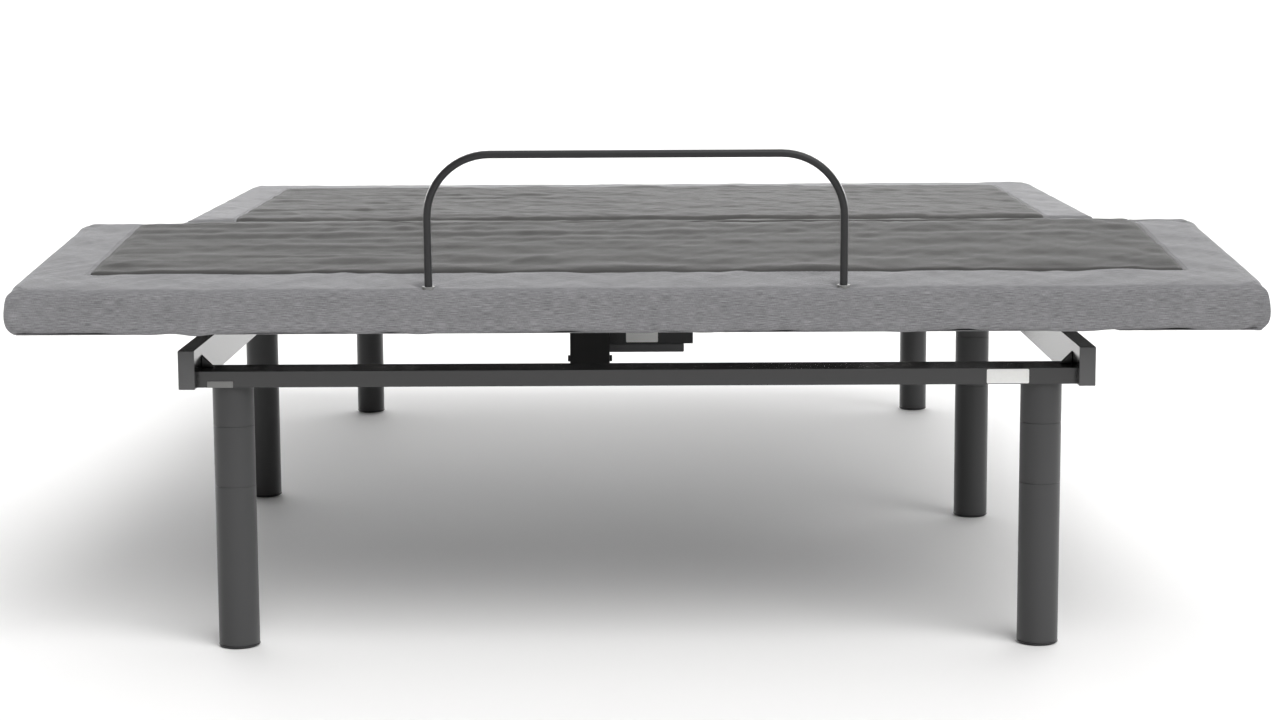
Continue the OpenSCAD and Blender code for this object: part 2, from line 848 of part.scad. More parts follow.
// A bracket that hangs from a motor rail: a web and two cheeks with pin
// holes. Its web is towards away, back from the pin.
module motor_bracket(x, pin_y, pin_z, away, back) {
    low = pin_z - clevis_drop;
    h = motor_rail_z - low;
    color(steel) translate([x, pin_y, low]) mirror([0, away < 0 ? 1 : 0, 0]) difference() {
        union() {
            translate([-clevis_w / 2, back, 0]) cube([clevis_w, plate_t, h]);
            for (s = [-1, 1]) translate([s * (clevis_w - plate_t) / 2 - plate_t / 2,
                                         -clevis_front, 0])
                cube([plate_t, clevis_front + back, h]);
        }
        translate([0, 0, clevis_drop]) pin_x(drive_pin_d + 0.1, clevis_w + 4);
    }
}

// The pins that the drives and the foot links turn on
module pivot_pins() {
    inner = link_x - link_t / 2 - 4;
    outer = frame_w / 2 + 2;
    color(zinc) {
        translate([head_drive_x, head_clevis_y, head_clevis_z])
            pin_x(drive_pin_d, clevis_w + 8);
        translate([leg_drive_x, leg_clevis_y, leg_clevis_z])
            pin_x(drive_pin_d, clevis_w + 8);
        for (s = [-1, 1]) translate([s * (inner + outer) / 2, link_y, link_z])
            pin_x(link_pin_d, outer - inner);
    }
}

// A drive's own frame: the rear pin at the origin, Y along its rod
head_reach_v = [head_drive_l + head_pin[0], head_drive_drop + head_pin[1]];
module at_head_drive() {
    translate([head_drive_x, head_clevis_y, head_clevis_z])
        rotate([atan2(head_reach_v[1], head_reach_v[0]), 0, 0]) children();
}

leg_turn = thigh_lever_angle + thigh_angle;
leg_reach_v = [leg_drive_l + thigh_lever * sin(leg_turn),
               leg_drive_drop - thigh_lever * cos(leg_turn)];
module at_leg_drive() {
    translate([leg_drive_x, leg_clevis_y, leg_clevis_z])
        rotate([-atan2(leg_reach_v[1], leg_reach_v[0]), 0, 0]) mirror([0, 1, 0])
        children();
}

head_reach = norm(head_reach_v);
leg_reach = norm(leg_reach_v);
head_tube_end = head_reach - 42;
leg_tube_end = leg_reach - 92;
tube_d = 32;
body_y = [28, 90];
motor_l = 136;
cover_l = 122;

gear_low = -20;
gear_h = 62;
motor_w = 56;
motor_z = 16;
motor_h = 24;
tube_bore_y = 60;
// The cast body of a drive: rear eye, gearbox, outer tube and motor housing
module gearbox(tube_end) {
    gear_l = body_y[1] - body_y[0];
    color(plastic) difference() {
        union() {
            pin_x(eye_d + 4, eye_w);
            translate([-eye_w / 2, 0, -eye_d / 2]) cube([eye_w, body_y[0] + 2, eye_d]);
            translate([-gearbox_w / 2, body_y[0], gear_low]) cube([gearbox_w, gear_l, gear_h]);
            translate([0, body_y[1] - 4, 0]) rotate([-90, 0, 0])
                cylinder(d = tube_d, h = tube_end - body_y[1] + 4);
            translate([gearbox_w / 2 - 2, body_y[0] + 2, motor_z])
                cube([motor_l + 2, motor_w, motor_h]);
        }
        pin_x(drive_pin_d + 2 * pin_play, eye_w + 2);
        translate([0, tube_bore_y, 0]) rotate([-90, 0, 0])
            cylinder(d = rod_d + 2 * rod_play, h = tube_end);
    }
}

// The lower cover of the motor
cover_w = 54;
cover_h = 14;
module motor_cover() {
    color("#4a4a4c") translate([gearbox_w / 2, body_y[0] + 3, motor_z - cover_h])
        cube([cover_l, cover_w, cover_h]);
}

// The push rod: tube, eye and the pin that works in the levers' slots
rod_start = 100;
module push_rod(reach) {
    pin_l = eye_w + 2 * (3 + plate_t + 4);
    color(zinc) {
        translate([0, rod_start, 0]) rotate([-90, 0, 0])
            cylinder(d = rod_d, h = reach - rod_start - eye_d / 2 + 3);
        translate([0, reach, 0]) {
            pin_x(eye_d, eye_w);
            pin_x(drive_pin_d, pin_l);
        }
    }
}

side_rail(-1);  // side_rail_left
side_rail(1);  // side_rail_right
cross_rail(front_cross_y, [-front_leg_x, front_leg_x]);  // front_cross_rail
cross_rail(rear_cross_y, [-rear_leg_x, rear_leg_x]);  // rear_cross_rail
motor_cross_rail(head_mount_y);  // head_motor_cross_rail
motor_cross_rail(leg_mount_y);  // leg_motor_cross_rail
rail_end_caps();
corner_gussets();
leg_bracket(left_leg_x, left_leg_y, -frame_w / 2);  // left_leg_bracket
leg_bracket(right_leg_x, right_leg_y, inner_x);  // right_leg_bracket
motor_bracket(head_drive_x, head_clevis_y, head_clevis_z, -1, clevis_back - plate_t);  // head_motor_bracket
motor_bracket(leg_drive_x, leg_clevis_y, leg_clevis_z, 1, clevis_back);  // leg_motor_bracket
pivot_pins();
leg_segment(glide_h + lower_h + middle_h, upper_h);  // leg_upper_segments
leg_segment(glide_h + lower_h, middle_h);  // leg_middle_segments
leg_segment(glide_h, lower_h);  // leg_lower_segments
leg_glides();
leg_studs();
leg_nuts();
rail_edge_clip();
seat_board();
seat_pad();
seat_inset();
seat_bolts();
seat_hinge_leaves();
seat_hinge_pins();
control_box();
control_box_lid();
control_circuit_board();
power_inlet();
head_board();
head_pad();
head_inset();
head_frame();
head_lift_lever();
head_hinge_leaves();
thigh_board();
thigh_pad();
thigh_inset();
thigh_frame();
thigh_lift_lever();
thigh_hinge_leaves();
foot_board();
foot_pad();
foot_inset();
foot_frame();
foot_hinge_leaves();
knee_hinge_pins();
retainer_bar();
retainer_ferrules();
retainer_nuts();
foot_link_ears();
foot_link(-1);  // foot_link_left
foot_link(1);  // foot_link_right
at_head_drive() gearbox(head_tube_end);  // head_gearbox
at_head_drive() motor_cover();  // head_motor_cover
at_head_drive() push_rod(head_reach);  // head_push_rod
at_leg_drive() gearbox(leg_tube_end);  // leg_gearbox
at_leg_drive() motor_cover();  // leg_motor_cover
at_leg_drive() push_rod(leg_reach);  // leg_push_rod
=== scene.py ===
"""An adjustable bed base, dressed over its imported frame.

The deck's four sections get padded covers with stretched inset cloths, and the
steelwork, legs and drives get rounded edges and finishes of their own. X runs
across the bed, -Y points to its foot end and +Z up. Lengths are in metres.
"""

import json
import logging
import math
from dataclasses import dataclass, field
from enum import Enum

import bmesh
import bpy
import numpy as np
from mathutils import Matrix, Vector
from mathutils.bvhtree import BVHTree

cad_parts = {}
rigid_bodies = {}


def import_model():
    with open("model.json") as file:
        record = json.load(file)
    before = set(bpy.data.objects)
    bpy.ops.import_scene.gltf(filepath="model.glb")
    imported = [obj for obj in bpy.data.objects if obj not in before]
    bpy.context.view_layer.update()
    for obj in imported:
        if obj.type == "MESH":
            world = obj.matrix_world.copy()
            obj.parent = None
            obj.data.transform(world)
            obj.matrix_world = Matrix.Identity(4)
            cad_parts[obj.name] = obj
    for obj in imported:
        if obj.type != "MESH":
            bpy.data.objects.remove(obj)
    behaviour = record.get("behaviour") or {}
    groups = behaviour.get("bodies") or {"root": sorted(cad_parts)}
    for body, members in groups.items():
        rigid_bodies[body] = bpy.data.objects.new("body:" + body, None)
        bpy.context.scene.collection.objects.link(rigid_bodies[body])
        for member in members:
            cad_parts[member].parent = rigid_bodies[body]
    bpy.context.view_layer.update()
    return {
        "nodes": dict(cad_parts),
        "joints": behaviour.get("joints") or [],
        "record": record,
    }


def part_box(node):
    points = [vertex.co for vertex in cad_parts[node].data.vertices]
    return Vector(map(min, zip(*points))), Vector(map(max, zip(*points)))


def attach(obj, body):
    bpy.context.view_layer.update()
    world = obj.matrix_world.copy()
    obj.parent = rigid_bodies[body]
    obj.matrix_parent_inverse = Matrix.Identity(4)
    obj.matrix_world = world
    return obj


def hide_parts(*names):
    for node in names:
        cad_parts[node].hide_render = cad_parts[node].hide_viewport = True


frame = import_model()

log = logging.getLogger("bed_base")
Colour = tuple[float, float, float]
Array = np.ndarray

CLOTH_UV = "Cloth"


# ---------------------------------------------------------------- shader tools

class Bench:
    """Adds, sets and links the nodes of one shader tree."""

    def __init__(self, tree: bpy.types.NodeTree) -> None:
        """Starts work on a tree.

        Args:
            tree: The node tree to work in.
        """
        self.tree = tree

    def add(self, kind: str, inputs: dict | None = None, **settings) -> bpy.types.Node:
        """Adds a node.

        Args:
            kind: The node's type, such as ShaderNodeBump.
            inputs: Socket name or number to a constant, or to a socket to link.
            **settings: Properties of the node itself.

        Returns:
            The new node.
        """
        node = self.tree.nodes.new(kind)
        for key, value in settings.items():
            setattr(node, key, value)
        self.fill(node, inputs or {})
        return node

    def fill(self, node: bpy.types.Node, inputs: dict) -> None:
        """Sets a node's inputs to constants, or links sockets to them."""
        for key, value in inputs.items():
            if isinstance(value, bpy.types.NodeSocket):
                self.tree.links.new(value, node.inputs[key])
            else:
                node.inputs[key].default_value = value

    def math(self, operation: str, a, b=0.0) -> bpy.types.NodeSocket:
        """Adds a Math node.

        Args:
            operation: Its operation, such as MULTIPLY.
            a: The first number or socket.
            b: The second number or socket.

        Returns:
            The result's socket.
        """
        return self.add("ShaderNodeMath", {0: a, 1: b}, operation=operation).outputs[0]

    def scaled(self, value, share: float, start: float = 0.0) -> bpy.types.NodeSocket:
        """Adds a share of a value to a start."""
        node = self.add("ShaderNodeMath", {0: value, 1: share, 2: start},
                        operation="MULTIPLY_ADD")
        return node.outputs[0]

    def blend(self, *parts: tuple) -> bpy.types.NodeSocket:
        """Adds up pairs of a value and its share."""
        total = self.scaled(*parts[0])
        for value, share in parts[1:]:
            total = self.math("ADD", total, self.scaled(value, share))
        return total

    def mix(self, factor, a, b) -> bpy.types.NodeSocket:
        """Mixes two colours.

        Args:
            factor: The share of the second colour.
            a: The first colour or socket.
            b: The second colour or socket.

        Returns:
            The mixed colour's socket.
        """
        node = self.add("ShaderNodeMix", {0: factor, 6: a, 7: b}, data_type="RGBA")
        return node.outputs[2]

    def noise(self, vector, scale, detail: float = 3.0,
              rough: float = 0.5) -> bpy.types.NodeSocket:
        """Adds a noise pattern.

        Args:
            vector: The socket that the pattern is laid out on.
            scale: Features per metre, or a socket.
            detail: Its octaves.
            rough: The weight of the finer octaves.

        Returns:
            The noise value's socket.
        """
        node = self.add("ShaderNodeTexNoise", {"Vector": vector, "Scale": scale,
                                               "Detail": detail, "Roughness": rough})
        return node.outputs["Fac"]

    def stretch(self, vector, scale: tuple[float, float, float]) -> bpy.types.NodeSocket:
        """Scales coordinates, so that a pattern runs long in one direction."""
        return self.add("ShaderNodeMapping", {"Vector": vector, "Scale": scale}).outputs[0]

    def ramp(self, factor, low: float, high: float) -> bpy.types.NodeSocket:
        """Maps a value from low..high to 0..1, with its ends held."""
        node = self.add("ShaderNodeMapRange", {0: factor, 1: low, 2: high},
                        interpolation_type="SMOOTHSTEP")
        return node.outputs[0]


class Effect(Enum):
    """The shader effects that materials share."""

    WEAVE = "Plain weave"
    MELANGE = "Melange yarn"
    ORANGE_PEEL = "Orange peel"
    SCUFFS = "Scuffs"
    DUST = "Settled dust"


class EffectShelf:
    """Builds each shared effect once, as a shader node group."""

    def __init__(self) -> None:
        """Starts with no group built."""
        self.groups: dict[Effect, bpy.types.NodeTree] = {}

    def place(self, bench: Bench, effect: Effect, inputs: dict) -> bpy.types.Node:
        """Places an effect's group in a material.

        Args:
            bench: The material's bench.
            effect: The effect wanted.
            inputs: Values or sockets for the group's inputs.

        Returns:
            The group node.
        """
        if effect not in self.groups:
            self.groups[effect] = getattr(self, "_" + effect.name.lower())(effect.value)
        return bench.add("ShaderNodeGroup", inputs, node_tree=self.groups[effect])

    @staticmethod
    def _start(name: str, number: str, default: float,
               output: str) -> tuple[Bench, bpy.types.NodeSocket, bpy.types.NodeSocket]:
        """Makes a group's tree with a Vector input, a number input and an output.

        Args:
            name: The group's name.
            number: The number input's name.
            default: The number input's default.
            output: The output's name.

        Returns:
            The tree's bench, and the sockets that the two inputs come in by.
        """
        tree = bpy.data.node_groups.new(name, "ShaderNodeTree")
        face = tree.interface
        face.new_socket("Vector", in_out="INPUT", socket_type="NodeSocketVector")
        socket = face.new_socket(number, in_out="INPUT", socket_type="NodeSocketFloat")
        socket.default_value = default
        face.new_socket(output, in_out="OUTPUT", socket_type="NodeSocketFloat")
        bench = Bench(tree)
        source = bench.add("NodeGroupInput")
        return bench, source.outputs["Vector"], source.outputs[number]

    @staticmethod
    def _end(bench: Bench, value) -> bpy.types.NodeTree:
        """Puts a value out of the group and returns its tree."""
        bench.add("NodeGroupOutput", {0: value})
        return bench.tree

    def _weave(self, name: str) -> bpy.types.NodeTree:
        """Plain weave: warp and weft threads that pass over and under."""
        bench, place, threads = self._start(name, "Threads", 900.0, "Height")
        axes = bench.add("ShaderNodeSeparateXYZ", {0: place})
        turn = bench.math("MULTIPLY", threads, math.pi)
        warp = bench.math("SINE", bench.math("MULTIPLY", axes.outputs[0], turn))
        weft = bench.math("SINE", bench.math("MULTIPLY", axes.outputs[1], turn))
        over = bench.math("MULTIPLY", warp, weft)
        slub = bench.noise(bench.stretch(place, (1.0, 14.0, 1.0)), 60.0)
        return self._end(bench, bench.blend((over, 0.5), (slub, 1.0)))

    def _melange(self, name: str) -> bpy.types.NodeTree:
        """Short light and dark runs of yarn along both thread directions."""
        bench, place, contrast = self._start(name, "Contrast", 1.0, "Shade")
        along = bench.noise(bench.stretch(place, (70.0, 1500.0, 1.0)), 1.0, 2.0, 0.6)
        across = bench.noise(bench.stretch(place, (1500.0, 260.0, 1.0)), 1.0, 2.0, 0.6)
        cloud = bench.noise(place, 18.0, 3.0)
        shade = bench.blend((along, 0.66), (across, 0.24), (cloud, 0.08))
        centred = bench.math("MULTIPLY", bench.math("SUBTRACT", shade, 0.49), contrast)
        return self._end(bench, bench.math("ADD", centred, 0.5))

    def _orange_peel(self, name: str) -> bpy.types.NodeTree:
        """The fine, even ripple of a baked or moulded skin."""
        bench, place, scale = self._start(name, "Scale", 900.0, "Height")
        return self._end(bench, bench.noise(place, scale, 2.0))

    def _scuffs(self, name: str) -> bpy.types.NodeTree:
        """Sparse long rubs, as a mask from 0 to 1."""
        bench, place, amount = self._start(name, "Amount", 0.3, "Mask")
        rub = bench.noise(bench.stretch(place, (9.0, 70.0, 26.0)), 1.0, 6.0)
        patch = bench.noise(place, 7.0, 2.0)
        level = bench.scaled(amount, -0.3, 0.78)
        over = bench.math("SUBTRACT", bench.blend((rub, 0.65), (patch, 0.35)), level)
        clamp = bench.add("ShaderNodeClamp", {0: bench.scaled(over, 9.0)})
        return self._end(bench, clamp.outputs[0])

    def _dust(self, name: str) -> bpy.types.NodeTree:
        """Dust on faces that look upwards, as a mask from 0 to 1."""
        bench, place, amount = self._start(name, "Amount", 0.3, "Mask")
        geometry = bench.add("ShaderNodeNewGeometry")
        up = bench.add("ShaderNodeSeparateXYZ", {0: geometry.outputs["Normal"]}).outputs[2]
        motes = bench.ramp(bench.noise(place, 45.0, 4.0, 0.65), 0.42, 0.75)
        mask = bench.math("MULTIPLY", bench.ramp(up, 0.55, 1.0), motes)
        return self._end(bench, bench.math("MULTIPLY", mask, amount))


EFFECTS = EffectShelf()


@dataclass(frozen=True)
class Finish:
    """A surface finish. Each kind fills in the material's nodes in dress()."""

    name: str

    def build(self) -> bpy.types.Material:
        """Makes the material, or returns it if it was made before."""
        found = bpy.data.materials.get(self.name)
        if found:
            return found
        material = bpy.data.materials.new(self.name)
        material.use_nodes = True
        material.node_tree.nodes.clear()
        bench = Bench(material.node_tree)
        shader = bench.add("ShaderNodeBsdfPrincipled")
        output = bench.add("ShaderNodeOutputMaterial")
        material.node_tree.links.new(shader.outputs[0], output.inputs[0])
        self.dress(bench, shader)
        return material

    def dress(self, bench: Bench, shader: bpy.types.Node) -> None:
        """Fills in the nodes.

        Args:
            bench: The material's bench.
            shader: Its Principled BSDF.
        """
        raise NotImplementedError

    @staticmethod
    def bump(bench: Bench, shader: bpy.types.Node, height, distance: float,
             strength: float = 1.0) -> None:
        """Feeds a height to the shader's normal.

        Args:
            bench: The material's bench.
            shader: Its Principled BSDF.
            height: The height's socket.
            distance: The height of 1, in metres.
            strength: How strongly it tells.
        """
        node = bench.add("ShaderNodeBump", {"Height": height, "Distance": distance,
                                            "Strength": strength})
        bench.tree.links.new(node.outputs[0], shader.inputs["Normal"])


@dataclass(frozen=True)
class MelangeCloth(Finish):
    """Woven upholstery of light and dark yarns."""

    dark: Colour = (0.098, 0.098, 0.103)
    light: Colour = (0.330, 0.328, 0.338)
    contrast: float = 2.9
    threads: float = 1150.0

    def dress(self, bench: Bench, shader: bpy.types.Node) -> None:
        """Lays the yarns out on the cloth's own map."""
        cloth = bench.add("ShaderNodeUVMap", uv_map=CLOTH_UV).outputs[0]
        melange = EFFECTS.place(bench, Effect.MELANGE, {"Vector": cloth,
                                                        "Contrast": self.contrast})
        weave = EFFECTS.place(bench, Effect.WEAVE, {"Vector": cloth, "Threads": self.threads})
        colour = bench.mix(melange.outputs["Shade"], (*self.dark, 1), (*self.light, 1))
        bench.fill(shader, {"Base Color": colour, "Roughness": 0.92, "Sheen Weight": 0.18,
                            "Sheen Roughness": 0.45, "Specular IOR Level": 0.25})
        self.bump(bench, shader, weave.outputs["Height"], 0.0003, 0.7)


@dataclass(frozen=True)
class StretchCloth(Finish):
    """Thin dark knit, drawn tight."""

    base: Colour = (0.056, 0.0545, 0.053)
    # The lighter colour: partly the knit's own tone, partly a painted highlight on the crests of
    # the wrinkle runs.
    worn: Colour = (0.084, 0.082, 0.080)

    def dress(self, bench: Bench, shader: bpy.types.Node) -> None:
        """Gives the knit its cross runs, with a painted highlight on their crests mixed with the
        knit's own tone, and its soft bloom.
        """
        cloth = bench.add("ShaderNodeUVMap", uv_map=CLOTH_UV).outputs[0]
        runs = bench.noise(bench.stretch(cloth, (2.2, 46.0, 1.0)), 1.0, 4.0, 0.55)
        fine = bench.noise(bench.stretch(cloth, (240.0, 1500.0, 1.0)), 1.0, 2.0)
        shade = bench.blend((runs, 0.7), (fine, 0.3))
        # Painted highlight: lighter where the runs that bump the wrinkles rise, with some real
        # knit tone from the fine noise.
        colour = bench.mix(bench.ramp(shade, 0.34, 0.68), (*self.base, 1), (*self.worn, 1))
        bench.fill(shader, {"Base Color": colour, "Roughness": 0.86, "Sheen Weight": 0.08,
                            "Sheen Roughness": 0.5, "Specular IOR Level": 0.3})
        weave = EFFECTS.place(bench, Effect.WEAVE, {"Vector": cloth, "Threads": 1500.0})
        height = bench.blend((weave.outputs["Height"], 0.25), (runs, 0.45))
        self.bump(bench, shader, height, 0.0009, 0.6)


@dataclass(frozen=True)
class PowderCoat(Finish):
    """Charcoal powder coat on steel, a little rubbed and dusty."""

    base: Colour = (0.024, 0.024, 0.0245)
    rubbed: Colour = (0.055, 0.055, 0.056)
    roughness: float = 0.16
    wear: float = 0.3
    specular: float = 0.6

    def dress(self, bench: Bench, shader: bpy.types.Node) -> None:
        """Adds the peel, the rubs and the dust to the coat."""
        place = bench.add("ShaderNodeTexCoord").outputs["Object"]
        scuffs = EFFECTS.place(bench, Effect.SCUFFS, {"Vector": place, "Amount": self.wear})
        dust = EFFECTS.place(bench, Effect.DUST, {"Vector": place, "Amount": 0.05})
        peel = EFFECTS.place(bench, Effect.ORANGE_PEEL, {"Vector": place, "Scale": 700.0})
        coat = bench.mix(scuffs.outputs["Mask"], (*self.base, 1), (*self.rubbed, 1))
        colour = bench.mix(dust.outputs["Mask"], coat, (0.30, 0.29, 0.27, 1))
        rough = bench.scaled(scuffs.outputs["Mask"], 0.18, self.roughness)
        bench.fill(shader, {"Base Color": colour, "Roughness": rough,
                            "Specular IOR Level": self.specular})
        self.bump(bench, shader, peel.outputs["Height"], 0.00012, 0.5)


@dataclass(frozen=True)
class ZincPlate(Finish):
    """Bright zinc on steel, with a faint cloud and fine scratches."""

    base: Colour = (0.56, 0.57, 0.58)

    def dress(self, bench: Bench, shader: bpy.types.Node) -> None:
        """Clouds the plating."""
        place = bench.add("ShaderNodeTexCoord").outputs["Object"]
        cloud = bench.noise(place, 120.0, 4.0)
        scratch = bench.noise(bench.stretch(place, (40.0, 900.0, 900.0)), 1.0, 2.0)
        colour = bench.mix(cloud, tuple(c * 0.8 for c in self.base) + (1,), (*self.base, 1))
        rough = bench.scaled(scratch, 0.26, 0.22)
        bench.fill(shader, {"Base Color": colour, "Roughness": rough, "Metallic": 1.0})
        self.bump(bench, shader, scratch, 0.00005, 0.4)


@dataclass(frozen=True)
class MouldedPlastic(Finish):
    """Moulded plastic with a fine spark-eroded grain."""

    base: Colour = (0.016, 0.016, 0.017)
    roughness: float = 0.48

    def dress(self, bench: Bench, shader: bpy.types.Node) -> None:
        """Grains the skin and settles some dust on it."""
        place = bench.add("ShaderNodeTexCoord").outputs["Object"]
        grain = EFFECTS.place(bench, Effect.ORANGE_PEEL, {"Vector": place, "Scale": 2200.0})
        dust = EFFECTS.place(bench, Effect.DUST, {"Vector": place, "Amount": 0.22})
        tone = bench.noise(place, 25.0, 2.0)
        lighter = tuple(c * 1.35 for c in self.base) + (1,)
        skin = bench.mix(tone, (*self.base, 1), lighter)
        colour = bench.mix(dust.outputs["Mask"], skin, (0.28, 0.27, 0.25, 1))
        rough = bench.scaled(tone, 0.12, self.roughness)
        bench.fill(shader, {"Base Color": colour, "Roughness": rough})
        self.bump(bench, shader, grain.outputs["Height"], 0.0001, 0.6)


@dataclass(frozen=True)
class ParticleBoard(Finish):
    """Particle board with a thin black facing that shows the chips faintly."""

    dark: Colour = (0.010, 0.010, 0.010)
    light: Colour = (0.026, 0.025, 0.024)

    def dress(self, bench: Bench, shader: bpy.types.Node) -> None:
        """Scatters the chips."""
        place = bench.add("ShaderNodeTexCoord").outputs["Object"]
        chips = bench.add("ShaderNodeTexVoronoi", {"Vector": bench.stretch(place, (160, 330, 330)),
                                                   "Scale": 1.0})
        shade = bench.add("ShaderNodeSeparateXYZ", {0: chips.outputs["Color"]}).outputs[0]
        fine = bench.noise(place, 700.0, 3.0)
        both = bench.blend((shade, 0.7), (fine, 0.3))
        colour = bench.mix(both, (*self.dark, 1), (*self.light, 1))
        bench.fill(shader, {"Base Color": colour, "Roughness": 0.85})
        self.bump(bench, shader, both, 0.0004, 0.6)


@dataclass(frozen=True)
class PlainThing(Finish):
    """Small trim: paper, thread, lacquer or staples, with a faint mottle."""

    base: Colour = (0.8, 0.8, 0.78)
    roughness: float = 0.6
    metallic: float = 0.0
    mottle: float = 0.15
    scale: float = 300.0

    def dress(self, bench: Bench, shader: bpy.types.Node) -> None:
        """Mottles the colour and the gloss."""
        place = bench.add("ShaderNodeTexCoord").outputs["Object"]
        spots = bench.noise(place, self.scale, 3.0)
        low = tuple(c * (1 - self.mottle) for c in self.base) + (1,)
        colour = bench.mix(spots, low, (*self.base, 1))
        rough = bench.scaled(spots, 0.1, self.roughness)
        bench.fill(shader, {"Base Color": colour, "Roughness": rough,
                            "Metallic": self.metallic})
        self.bump(bench, shader, spots, 0.00008, 0.4)


BORDER_CLOTH = MelangeCloth("Border cloth")
INSET_CLOTH = StretchCloth("Inset cloth")
FRAME_PAINT = PowderCoat("Frame paint")
LEG_PAINT = PowderCoat("Leg paint", base=(0.060, 0.060, 0.061), rubbed=(0.09, 0.09, 0.09),
                       roughness=0.42, specular=0.3)
BAR_PAINT = PowderCoat("Bar paint", base=(0.026, 0.026, 0.027), rubbed=(0.06, 0.06, 0.06),
                       roughness=0.33, specular=0.25)
CLIP_PAINT = PowderCoat("Clip paint", base=(0.20, 0.20, 0.195), rubbed=(0.3, 0.3, 0.3),
                        roughness=0.5, specular=0.5)
PIN_BLACK = PowderCoat("Pin black", base=(0.008, 0.008, 0.008), rubbed=(0.03, 0.03, 0.03),
                       roughness=0.4, specular=0.3)
BRACKET_PAINT = PowderCoat("Bracket paint", base=(0.006, 0.006, 0.006),
                           rubbed=(0.02, 0.02, 0.02), roughness=0.45, specular=0.2)
ZINC = ZincPlate("Zinc")
BLACK_PLASTIC = MouldedPlastic("Black plastic")
GREY_PLASTIC = MouldedPlastic("Grey plastic", base=(0.055, 0.055, 0.057), roughness=0.4)
CAP_PLASTIC = MouldedPlastic("Cap plastic", base=(0.075, 0.075, 0.076), roughness=0.35)
BOARD = ParticleBoard("Panel board")
CIRCUIT = PlainThing("Circuit board", base=(0.02, 0.10, 0.04), roughness=0.35, mottle=0.5)
PAPER = PlainThing("Label paper", base=(0.92, 0.92, 0.90), roughness=0.5, mottle=0.08)
THREAD = PlainThing("Seam thread", base=(0.20, 0.20, 0.21), roughness=0.9, scale=900.0)
STAPLE_WIRE = PlainThing("Staple wire", base=(0.5, 0.5, 0.5), roughness=0.35, metallic=1.0)


# ------------------------------------------------------------------ mesh tools

def add_object(name: str, mesh: bpy.types.Mesh, finish: Finish) -> bpy.types.Object:
    """Links a mesh into the scene as a piece.

    Args:
        name: The piece's name.
        mesh: Its mesh, in the row frame.
        finish: Its finish.

    Returns:
        The new object, at the origin.
    """
    mesh.materials.clear()
    mesh.materials.append(finish.build())
    piece = bpy.data.objects.new(name, mesh)
    bpy.context.scene.collection.objects.link(piece)
    return piece


def mesh_from(name: str, points: Array, faces: list) -> bpy.types.Mesh:
    """Makes a smooth mesh from points and faces, its faces turned outwards.

    Args:
        name: The mesh's name.
        points: An n by 3 array.
        faces: Lists of point numbers.

    Returns:
        The mesh.
    """
    mesh = bpy.data.meshes.new(name)
    mesh.from_pydata(points.tolist(), [], [list(map(int, f)) for f in faces])
    solid = bmesh.new()
    solid.from_mesh(mesh)
    bmesh.ops.recalc_face_normals(solid, faces=solid.faces)
    solid.to_mesh(mesh)
    solid.free()
    mesh.polygons.foreach_set("use_smooth", [True] * len(mesh.polygons))
    return mesh


def points_of(mesh: bpy.types.Mesh) -> Array:
    """A mesh's points as an n by 3 array."""
    flat = np.empty(len(mesh.vertices) * 3)
    mesh.vertices.foreach_get("co", flat)
    return flat.reshape(-1, 3)


def set_points(mesh: bpy.types.Mesh, points: Array) -> None:
    """Moves a mesh's points to an n by 3 array."""
    mesh.vertices.foreach_set("co", points.ravel())
    mesh.update()


def corner_points(mesh: bpy.types.Mesh) -> Array:
    """The point number of every face corner."""
    numbers = np.empty(len(mesh.loops), int)
    mesh.loops.foreach_get("vertex_index", numbers)
    return numbers


def lay_out(mesh: bpy.types.Mesh, flat: Array) -> None:
    """Gives every face corner its place on the flat cloth."""
    mesh.uv_layers.new(name=CLOTH_UV).data.foreach_set("uv", flat.ravel())


def node_points(node: str) -> Array:
    """The points of a CAD node, in the row frame."""
    return points_of(frame["nodes"][node].data)


def applied(piece: bpy.types.Object) -> bpy.types.Object:
    """Bakes a piece's modifiers into its mesh.

    Args:
        piece: An object with modifiers.

    Returns:
        The same object, with none.
    """
    graph = bpy.context.evaluated_depsgraph_get()
    mesh = bpy.data.meshes.new_from_object(piece.evaluated_get(graph), depsgraph=graph)
    piece.modifiers.clear()
    piece.data = mesh
    return piece


class Ripples:
    """A smooth, seeded field made of a few dozen sine waves."""

    def __init__(self, seed: int, wave_x: float, wave_s: float, count: int = 24) -> None:
        """Chooses the waves.

        Args:
            seed: Fixes the choice.
            wave_x: The typical wavelength along X, in metres.
            wave_s: The typical wavelength along S, in metres.
            count: The number of waves.
        """
        chance = np.random.default_rng(seed)
        spread = chance.uniform(0.6, 1.7, (2, count))
        signs = chance.choice([-1.0, 1.0], count)
        self.kx = 2 * math.pi / (wave_x * spread[0]) * signs
        self.ks = 2 * math.pi / (wave_s * spread[1])
        self.phase = chance.uniform(0, 2 * math.pi, count)
        self.share = chance.uniform(0.4, 1.0, count)
        self.share /= np.sqrt((self.share ** 2).sum() / 2)

    def at(self, x: Array, s: Array) -> Array:
        """The field at points, with a root mean square of about 1."""
        total = np.zeros_like(x)
        for kx, ks, phase, share in zip(self.kx, self.ks, self.phase, self.share):
            total += share * np.sin(kx * x + ks * s + phase)
        return total


# ------------------------------------------------------------- padded sections

